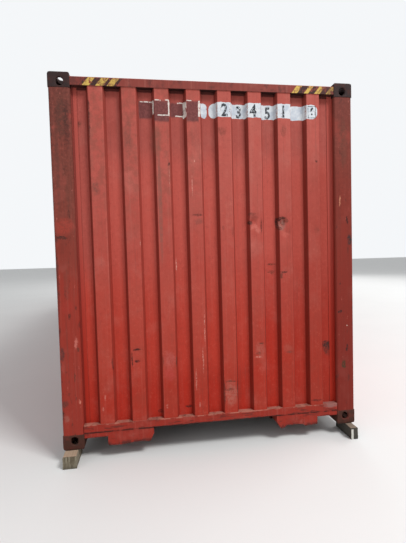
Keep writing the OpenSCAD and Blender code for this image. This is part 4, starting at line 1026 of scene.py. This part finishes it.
# An aperture's centre, from the end, from the side, and from the top or bottom face
HOLE_FROM_END = 0.1015
HOLE_FROM_SIDE = 0.089
HOLE_FROM_FACE = 0.073
# An aperture is drawn by a circle that moves over a box with these half sizes
HOLE_R = 0.0255
END_HOLE = (0.0, 0.00625)
SIDE_HOLE = (0.01425, 0.00625)
RIM = 0.009
RIM_CUTS = (0.0009, 0.003, RIM)
# The rim stays narrow toward the face without the locking aperture, because a rounded edge lies there
NARROW = 0.88
INNER_EDGE = 0.020
OUTER_EDGE = 0.030
EDGE_CUTS = (1.0, 0.732, 0.423)


def cut(work, axis, place):
    """Cuts the faces along a plane square to an axis."""
    plane, normal = Vector(), Vector()
    plane[axis] = place
    normal[axis] = 1.0
    everything = work.verts[:] + work.edges[:] + work.faces[:]
    bmesh.ops.bisect_plane(work, geom=everything, plane_co=plane, plane_no=normal, dist=NEAR / 10)


def round_edge(work, side_y, into_y, face_z, into_z, radius):
    """Rounds the long edge between a fitting's side and its top or bottom face."""
    for share in EDGE_CUTS:
        cut(work, 1, side_y + into_y * radius * share)
        cut(work, 2, face_z + into_z * radius * share)
    for vertex in work.verts:
        a = radius - into_y * (vertex.co.y - side_y)
        b = radius - into_z * (vertex.co.z - face_z)
        out = math.hypot(a, b)
        if a > 0 and b > 0 and out > radius:
            vertex.co.y = side_y + into_y * (radius - a * radius / out)
            vertex.co.z = face_z + into_z * (radius - b * radius / out)


def round_rim(work, axis, sign, middle, middle_z, core, web_sign):
    """Rounds the outer rim of the aperture in a fitting's end (axis 0) or side (axis 1)."""
    face = sign * (END, SIDE)[axis]
    across = 1 - axis
    for depth in RIM_CUTS:
        cut(work, axis, face - sign * depth)
    for vertex in work.verts:
        depth = sign * (face - vertex.co[axis])
        if not -0.0001 < depth < RIM - 0.00005:
            continue
        a, b = vertex.co[across] - middle, vertex.co.z - middle_z
        near = Vector((max(-core[0], min(core[0], a)), max(-core[1], min(core[1], b))))
        out = Vector((a, b)) - near
        if abs(out.length - HOLE_R) > 0.0004:
            continue
        grown = RIM - math.sqrt(max(0.0, RIM * RIM - (RIM - max(depth, 0.0)) ** 2))
        out.normalize()
        web = max(0.0, web_sign * out.y)
        moved = near + out * (HOLE_R + grown * (1 - NARROW * web * web))
        vertex.co[across], vertex.co.z = middle + moved.x, middle_z + moved.y


def eased_fitting(name):
    mesh, work = copied(name)
    low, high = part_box(name)
    end = 1 if high.x > 0 else -1
    side = 1 if high.y > 0 else -1
    face_z, into_z = (high.z, -1) if high.z > 1 else (low.z, 1)
    middle_z = face_z + into_z * HOLE_FROM_FACE
    round_rim(work, 0, end, side * (SIDE - HOLE_FROM_SIDE), middle_z, END_HOLE, into_z)
    round_rim(work, 1, side, end * (END - HOLE_FROM_END), middle_z, SIDE_HOLE, into_z)
    round_edge(work, side * (SIDE - FITTING_WIDTH), side, face_z, into_z, INNER_EDGE)
    round_edge(work, side * SIDE, -side, face_z, into_z, OUTER_EDGE)
    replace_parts(new_object(name + "_rimmed", written(work, mesh), castings, 38), name)


for name in nodes:
    if name.startswith("fitting"):
        eased_fitting(name)


# Weld beads: a rounded run of metal along a path, with the ripples that a hand weld has

BEAD_SIDES = 6
BEAD_STEP = 0.006


def bead(name, path, out, radius):
    """A half-round strip along path. out gives the two directions that its section opens in."""
    vertices, faces = [], []
    for point in path:
        size = radius * (1 + 0.22 * noise_at(point.x * 90, point.y * 90, point.z * 90))
        for step in range(BEAD_SIDES + 1):
            turn = math.pi * step / BEAD_SIDES
            vertices.append(point + out[0] * (math.cos(turn) * size) + out[1] * (math.sin(turn) * size))
    ring = BEAD_SIDES + 1
    for k in range(len(path) - 1):
        for a in range(k * ring, k * ring + BEAD_SIDES):
            faces.append((a, a + 1, a + ring + 1, a + ring))
    mesh = bpy.data.meshes.new(name)
    mesh.from_pydata([tuple(vertex) for vertex in vertices], [], faces)
    mesh.update()
    new_object(name, mesh, wall_paint, 60)


seam_x = WALL_LOW.x + SHEET + 0.0005
steps = int((WALL_HIGH.z - WALL_LOW.z - 0.01) / BEAD_STEP)
for side, label in ((-1, "left"), (1, "right")):
    seam_y = side * (WALL_HIGH.y - 0.001)
    rise = [Vector((seam_x, seam_y, above_base(0.19) + k * BEAD_STEP)) for k in range(steps)]
    bead("flange_weld_" + label, rise, (Y, X), 0.003)
for z, label in ((WALL_HIGH.z, "top"), (WALL_LOW.z, "foot")):
    along = [Vector((point.y + SHEET / 2 - dent_depth(point.x, z), point.x, z)) for point in wall_line()]
    bead("wall_weld_" + label, along, (Z, X), 0.0028)


# Rivets on the rod brackets at the door end

HEAD_SIDES = 10
HEAD_RADIUS = 0.0075
HEAD_HEIGHT = 0.005
# Rings of a domed head, as (share of its radius, share of its height)
HEAD_RINGS = ((1.0, 0.0), (1.0, 0.35), (0.82, 0.75), (0.42, 1.0))
FOOT_PLATE = 0.006
FOOT_LEAST = 0.08
HEAD_INSET = 0.014


def rivet_places():
    """Two places on each rod bracket's foot, found from the foot's own corners."""
    plane = LEAF_BACK - FOOT_PLATE
    feet = {}
    for vertex in nodes["rod_brackets"].data.vertices:
        x, y, z = vertex.co
        if abs(x - plane) < 0.0015:
            feet.setdefault((round(y / 0.14), round(z / 0.2)), []).append((y, z))
    places = []
    for corners in feet.values():
        ys, zs = zip(*corners)
        if max(ys) - min(ys) > FOOT_LEAST:
            for y in (min(ys) + HEAD_INSET, max(ys) - HEAD_INSET):
                places.append((plane, y, (min(zs) + max(zs)) / 2))
    return places


def rivet_mesh(name, places):
    """Low domed heads facing -X, at the given places."""
    work = bmesh.new()
    turns = [math.tau * k / HEAD_SIDES for k in range(HEAD_SIDES)]
    for x, y, z in places:
        rows = []
        for share, rise in HEAD_RINGS:
            wide, front = share * HEAD_RADIUS, x - rise * HEAD_HEIGHT
            ring = [(front, y + wide * math.cos(a), z + wide * math.sin(a)) for a in turns]
            rows.append([work.verts.new(place) for place in ring])
        for row, after in zip(rows, rows[1:]):
            for k in range(HEAD_SIDES):
                m = (k + 1) % HEAD_SIDES
                work.faces.new((row[k], after[k], after[m], row[m]))
        work.faces.new(rows[-1])
    bmesh.ops.recalc_face_normals(work, faces=work.faces)
    return written(work, bpy.data.meshes.new(name))


new_object("bracket_rivets", rivet_mesh("bracket_rivets", rivet_places()), galvanised, 50)


# Floor, backdrop, light and camera

FLOOR_REACH = 60.0
# Linear colours of the floor and of its soft shade
FLOOR_PALE = (0.72, 0.72, 0.71, 1.0)
FLOOR_SHADE = (0.6912, 0.6912, 0.6816, 1.0)


def floor_paint():
    t = Tree("floor_pale")
    t.colour = t.mix(t.times(t.patches(0.4, 0.7, 0.6, 3), 0.4), FLOOR_PALE, FLOOR_SHADE)
    return t.finish(0.9, specular=0.1)


floor_mesh = bpy.data.meshes.new("floor")
corners = [(x * FLOOR_REACH, y * FLOOR_REACH, 0) for x, y in ((-1, -1), (1, -1), (1, 1), (-1, 1))]
floor_mesh.from_pydata(corners, [], [(0, 1, 2, 3)])
floor_mesh.materials.append(floor_paint())
floor = bpy.data.objects.new("floor", floor_mesh)
bpy.context.scene.collection.objects.link(floor)

# The world lights the object at WORLD_LIGHT, and is white to the camera and in gloss and glass
WORLD_LIGHT = 0.62
WORLD_SEEN = 0.95
world = bpy.data.worlds.new("studio")
bpy.context.scene.world = world
world.use_nodes = True
world_nodes, world_links = world.node_tree.nodes, world.node_tree.links
background = world_nodes["Background"]
background.inputs["Color"].default_value = (0.96, 0.98, 1.0, 1.0)
paths = world_nodes.new("ShaderNodeLightPath").outputs
seen = paths["Is Camera Ray"]
for ray in ("Is Glossy Ray", "Is Transmission Ray"):
    either = world_nodes.new("ShaderNodeMath")
    either.operation = "MAXIMUM"
    world_links.new(seen, either.inputs[0])
    world_links.new(paths[ray], either.inputs[1])
    seen = either.outputs[0]
strength = world_nodes.new("ShaderNodeMapRange")
strength.inputs["To Min"].default_value = WORLD_LIGHT
strength.inputs["To Max"].default_value = WORLD_SEEN
world_links.new(seen, strength.inputs["Value"])
world_links.new(strength.outputs[0], background.inputs["Strength"])


def area_light(name, location, target, size, power):
    lamp = bpy.data.lights.new(name, "AREA")
    lamp.shape = "RECTANGLE"
    lamp.size, lamp.size_y = size
    lamp.energy = power
    lamp_object = bpy.data.objects.new(name, lamp)
    lamp_object.location = location
    lamp_object.rotation_euler = (Vector(target) - Vector(location)).to_track_quat("-Z", "Y").to_euler()
    bpy.context.scene.collection.objects.link(lamp_object)


area_light("key", (12.5, 5.4, 11.5), (6.0, 0.2, 1.5), (4.0, 3.2), 1290)
area_light("fill", (14.0, -9.0, 5.0), (6.0, -0.4, 1.4), (7.0, 5.0), 110)
area_light("rear_fill", (-16.0, 7.0, 7.0), (-6.0, 0.0, 1.4), (7.0, 5.0), 800)
area_light("side_fill", (0.0, 16.0, 9.0), (0.0, 0.0, 1.4), (12.0, 5.0), 1200)

# The photo's camera: its turn to the right, dip and roll in degrees, and its focal length in pixels
CAMERA_AT = Vector((9.1184, -0.535, 1.595))
TURN, DIP, ROLL = (math.radians(angle) for angle in (8.501, 2.539, 1.563))
FOCAL_PX = 380.2
IMAGE_HEIGHT_PX = 543
SENSOR = 36


turned = Matrix.Rotation(-ROLL, 3, "Y") @ Matrix.Rotation(DIP, 3, "X") @ Matrix.Rotation(TURN, 3, "Z")
axes = turned @ Matrix(((0, 1, 0), (-1, 0, 0), (0, 0, 1)))
right, forward, up = axes.row
camera = bpy.data.cameras.new("camera")
camera.lens = FOCAL_PX / IMAGE_HEIGHT_PX * SENSOR
camera.clip_end = 300
camera_object = bpy.data.objects.new("camera", camera)
placing = Matrix((right, up, -forward)).transposed().to_4x4()
camera_object.matrix_world = Matrix.Translation(CAMERA_AT) @ placing
bpy.context.scene.collection.objects.link(camera_object)
bpy.context.scene.camera = camera_object
bpy.context.scene.view_settings.view_transform = "Standard"
